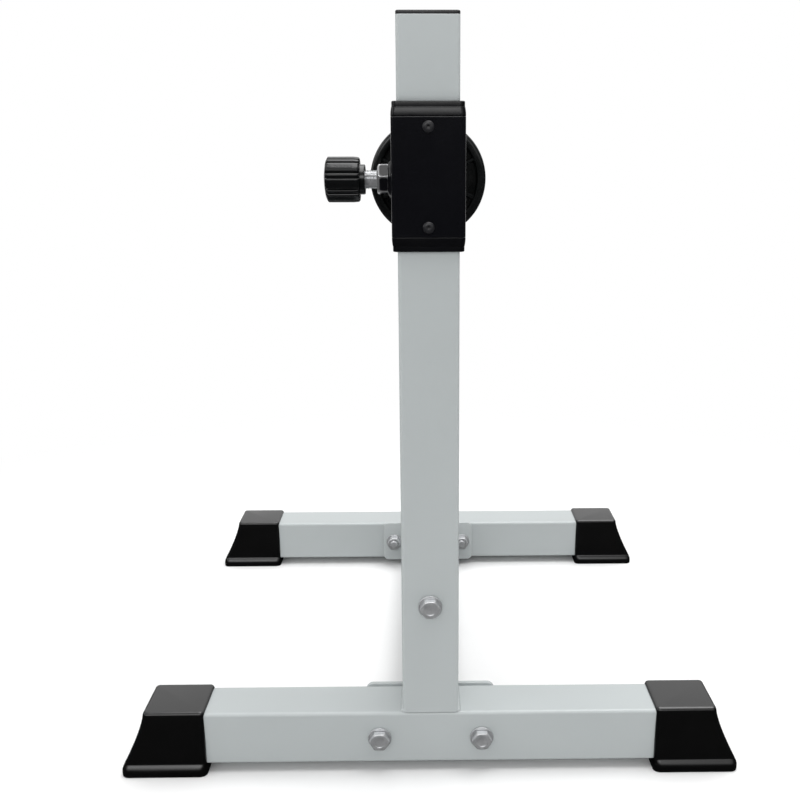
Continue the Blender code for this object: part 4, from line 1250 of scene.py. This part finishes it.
def cap_mesh(rim, bore, plug, plug_end):
    """An end cap along Z: its face at 0, ribs in its recess, and its plug running up."""
    inner = rim - CAP_RIM_WIDTH
    hub = CAP_HUB_DIAMETER / 2
    pitch = 2 * math.pi / CAP_RIBS

    def rib(angle, radius):
        """How far the floor rises at a point, towards a rib's flat top."""
        off = abs((angle / pitch) % 1.0 - 0.5) * pitch * radius
        rise = (CAP_RIB_THICKNESS / 2 + CAP_RIB_BLEND - off) / CAP_RIB_BLEND
        return (CAP_RECESS - CAP_CREST) * soft_step(rise)

    corners = [
        (bore, plug_end, 0.0004),
        (plug, plug_end, 0.0012),
        (plug, CAP_RIM_DEPTH, 0),
        (rim, CAP_RIM_DEPTH, 0.0008),
        (rim, 0, 0.0040),
        (inner, 0, 0.0012),
        (inner, CAP_RECESS, 0.0010),
        (hub, CAP_RECESS, 0.0010),
        (hub, 0, 0.0010),
        (bore, 0, 0.0006),
    ]
    outline = filleted(corners)
    profile = []
    for i, (radius, height) in enumerate(outline):
        ahead = outline[(i + 1) % len(outline)]
        on_floor = abs(height - CAP_RECESS) < 1e-6 and abs(ahead[1] - CAP_RECESS) < 1e-6
        spans = CAP_FLOOR_SPANS if on_floor and radius > ahead[0] else 1
        for span in range(spans):
            at = radius + (ahead[0] - radius) * span / spans
            ribbed = hub < at < inner + 1e-9 and CAP_CREST < height <= CAP_RECESS + 1e-9

            def up(angle, at=at, height=height, ribbed=ribbed):
                return max(CAP_CREST, height - rib(angle, at)) if ribbed else height

            profile.append((at, up))
    return spun(profile, CAP_STEPS, wrapped=True)


def make_roller():
    """The end caps with their bushes, and the foam between them."""
    low, high, centre = spans("roller_foam")
    plug = CORE_DIAMETER / 2 - TUBE_WALL - FIT_GAP
    for row, axis in (("front", "Y"), ("rear", "-Y")):
        cap = f"roller_{row}_cap"
        bush = f"roller_{row}_bush"
        cap_low, cap_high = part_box(cap)
        bush_low, bush_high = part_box(bush)
        bore = (bush_high.x - bush_low.x) / 2 + FIT_GAP
        mesh = cap_mesh((cap_high.x - cap_low.x) / 2, bore, plug, cap_high.y - cap_low.y)
        face = cap_low.y if row == "front" else cap_high.y
        dress(cap, mesh, (centre.x, face, centre.z), axis)
        make_washer(bush, centre, AXLE_BORE)

    length = high.y - low.y
    radius = (high.x - low.x) / 2
    bore = CORE_DIAMETER / 2 + FIT_GAP
    round_edge = edge_insets(FOAM_EDGE, 5)
    profile = [(bore, 0)]
    profile += [(radius - inset, depth) for inset, depth in round_edge]
    for level in range(1, FOAM_LEVELS):
        at = FOAM_EDGE + (length - 2 * FOAM_EDGE) * level / FOAM_LEVELS
        ends = min(1.0, min(at, length - at) / FOAM_FADE)

        def reach(angle, at=at, ends=ends):
            slow = math.sin(3 * angle + at * 31) * math.sin(2 * angle - at * 17 + 1.0)
            fine = math.sin(11 * angle + at * 140) * math.sin(7 * angle - at * 96 + 0.4)
            return radius - FOAM_UNEVEN * ends * (1 + 0.6 * slow + 0.4 * fine) / 2

        profile.append((reach, at))
    profile += [(radius - inset, length - depth) for inset, depth in round_edge[::-1]]
    mesh = spun(profile + [(bore, length)], FOAM_STEPS, wrapped=True)
    dress("roller_foam", mesh, (centre.x, low.y, centre.z), "Y")


def finish_carried_nodes():
    """The nodes that stay as they are get their finish."""
    for name, thing in frame["nodes"].items():
        if not thing.hide_render:
            thing.data.materials.clear()
            thing.data.materials.append(FINISHES[NODE_SLOTS[name]])
            thing.data.shade_smooth()
            thing.data.set_sharp_from_angle(angle=math.radians(SOLID_SMOOTH_ANGLE))


# The studio


def make_camera():
    data = bpy.data.cameras.new("camera")
    data.lens = CAMERA_LENS
    data.sensor_width = CAMERA_SENSOR
    data.shift_x, data.shift_y = CAMERA_SHIFT
    camera = show("camera", data)
    turn = (
        Matrix.Rotation(-CAMERA_YAW, 4, "Z")
        @ Matrix.Rotation(math.radians(90) - CAMERA_PITCH, 4, "X")
        @ Matrix.Rotation(-CAMERA_ROLL, 4, "Z")
    )
    camera.matrix_world = Matrix.Translation(CAMERA_AT) @ turn
    bpy.context.scene.camera = camera


def add_lamp(name, at, aim, width, height, power):
    """A soft rectangular lamp that faces a point."""
    data = bpy.data.lights.new(name, "AREA")
    data.shape = "RECTANGLE"
    data.size = width
    data.size_y = height
    data.energy = power
    lamp = show(name, data)
    lamp.location = at
    lamp.rotation_euler = (Vector(aim) - Vector(at)).to_track_quat("-Z", "Y").to_euler()


def make_lamps():
    add_lamp("front_softbox", (-0.7, -4.4, 2.4), (0, -0.2, 0.35), 3.9, 1.5, 44)
    add_lamp("left_softbox", (-2.8, -0.6, 1.8), (0, 0, 0.35), 1.6, 2.0, 15)
    add_lamp("overhead_softbox", (0.6, 0.32, 3.6), (0, 0, 0), 3.4, 3.0, 117)
    add_lamp("overhead_strip", (-0.45, -0.95, 2.7), (0, -0.3, 0.3), 1.4, 0.06, 3)


def looking(tree, rays):
    """1 for rays that look straight at a surface, and for those that pass through something."""
    straight = rays.outputs["Is Camera Ray"]
    return maths(tree, "MAXIMUM", straight, rays.outputs["Is Transmission Ray"])


def make_floor():
    """A pale floor that holds the object's shadow and turns into the white background."""
    mesh = bpy.data.meshes.new("floor")
    r = FLOOR_REACH
    mesh.from_pydata([(-r, -r, 0), (r, -r, 0), (r, r, 0), (-r, r, 0)], [], [(0, 1, 2, 3)])
    tree = new_tree("floor_finish")
    tree.nodes.remove(tree.nodes["Principled BSDF"])
    rays = node(tree, "ShaderNodeLightPath")
    glossy = rays.outputs["Is Glossy Ray"]
    tone = blended(tree, rays.outputs["Is Camera Ray"], (0.78, 0.78, 0.78), (0.96, 0.96, 0.96))
    pale = node(tree, "ShaderNodeBsdfDiffuse", {"Color": tone}).outputs[0]
    dim = node(tree, "ShaderNodeBsdfDiffuse", {"Color": (0.03, 0.03, 0.03)}).outputs[0]
    white = node(tree, "ShaderNodeEmission", {"Color": (1, 1, 1), "Strength": 1.0}).outputs[0]
    place = node(tree, "ShaderNodeNewGeometry").outputs["Position"]
    reach = node(tree, "ShaderNodeVectorMath", {0: place}, operation="LENGTH").outputs["Value"]
    inputs = {"Value": reach, "From Min": FLOOR_NEAR, "From Max": FLOOR_FAR}
    far = node(tree, "ShaderNodeMapRange", inputs, interpolation_type="SMOOTHSTEP").outputs[0]
    along = node(tree, "ShaderNodeSeparateXYZ", {0: place}).outputs["Y"]
    backdrop = ranged(tree, maths(tree, "DIVIDE", along, reach), 0.0, 1.0, 0.80, 0.98)
    mirrored = maths(tree, "MULTIPLY", backdrop, glossy)
    seen = maths(tree, "MULTIPLY", far, maths(tree, "MAXIMUM", looking(tree, rays), mirrored))
    near = node(tree, "ShaderNodeMixShader", {0: glossy, 1: pale, 2: dim}).outputs[0]
    whole = node(tree, "ShaderNodeMixShader", {0: seen, 1: near, 2: white}).outputs[0]
    feed(tree, tree.nodes["Material Output"].inputs["Surface"], whole)
    mesh.materials.append(bpy.data.materials["floor_finish"])
    show("floor", mesh)


def make_world():
    """A white studio: bright behind and above, and dark behind the camera to glossy surfaces."""
    world = bpy.data.worlds.new("studio")
    bpy.context.scene.world = world
    world.use_nodes = True
    tree = world.node_tree
    tree.nodes.clear()
    rays = node(tree, "ShaderNodeLightPath")
    way = node(tree, "ShaderNodeTexCoord").outputs["Generated"]
    parts = node(tree, "ShaderNodeSeparateXYZ", {0: way})
    along, up = parts.outputs["Y"], parts.outputs["Z"]
    steep = ranged(tree, up, 0.0, 1.0, 0.1, 0.4)
    high = maths(tree, "MULTIPLY", ranged(tree, along, 0.0, 1.0, 0.1, 0.6), steep)
    foot = ranged(tree, up, 0.0, 0.8, 0.10, 0.24)
    card = maths(tree, "MULTIPLY", foot, ranged(tree, up, 1.0, 0.0, 0.40, 0.55))
    card = maths(tree, "MULTIPLY", card, ranged(tree, along, 1.0, 0.0, -0.75, -0.45))
    behind = ranged(tree, along, 0.03, 1.0, 0.80, 0.98)
    above = ranged(tree, up, 0.0, 0.8, 0.45, 0.95)
    mirrored = maths(tree, "MAXIMUM", maths(tree, "MAXIMUM", behind, high), above)
    mirrored = maths(tree, "MAXIMUM", mirrored, card)
    ambient = maths(tree, "ADD", 0.44, maths(tree, "MULTIPLY", along, -0.10))
    sky = node(tree, "ShaderNodeMix", {0: rays.outputs["Is Glossy Ray"], 2: ambient, 3: mirrored})
    level = node(tree, "ShaderNodeMix", {0: looking(tree, rays), 2: sky.outputs[0], 3: 1.0})
    inputs = {"Color": (1, 1, 1), "Strength": level.outputs[0]}
    light = node(tree, "ShaderNodeBackground", inputs).outputs[0]
    node(tree, "ShaderNodeOutputWorld", {"Surface": light})


make_camera()
make_world()
make_floor()
make_lamps()
bpy.context.scene.view_settings.view_transform = "Standard"

make_feet()
make_upright()
make_plug()
make_beam()
make_beam_plates()
make_brace()
make_boots()
make_bolts()
make_sleeve()
make_liners()
make_screws()
make_pin_housing()
make_knob()
make_axle_flange()
make_axle_rings()
make_roller()
finish_carried_nodes()
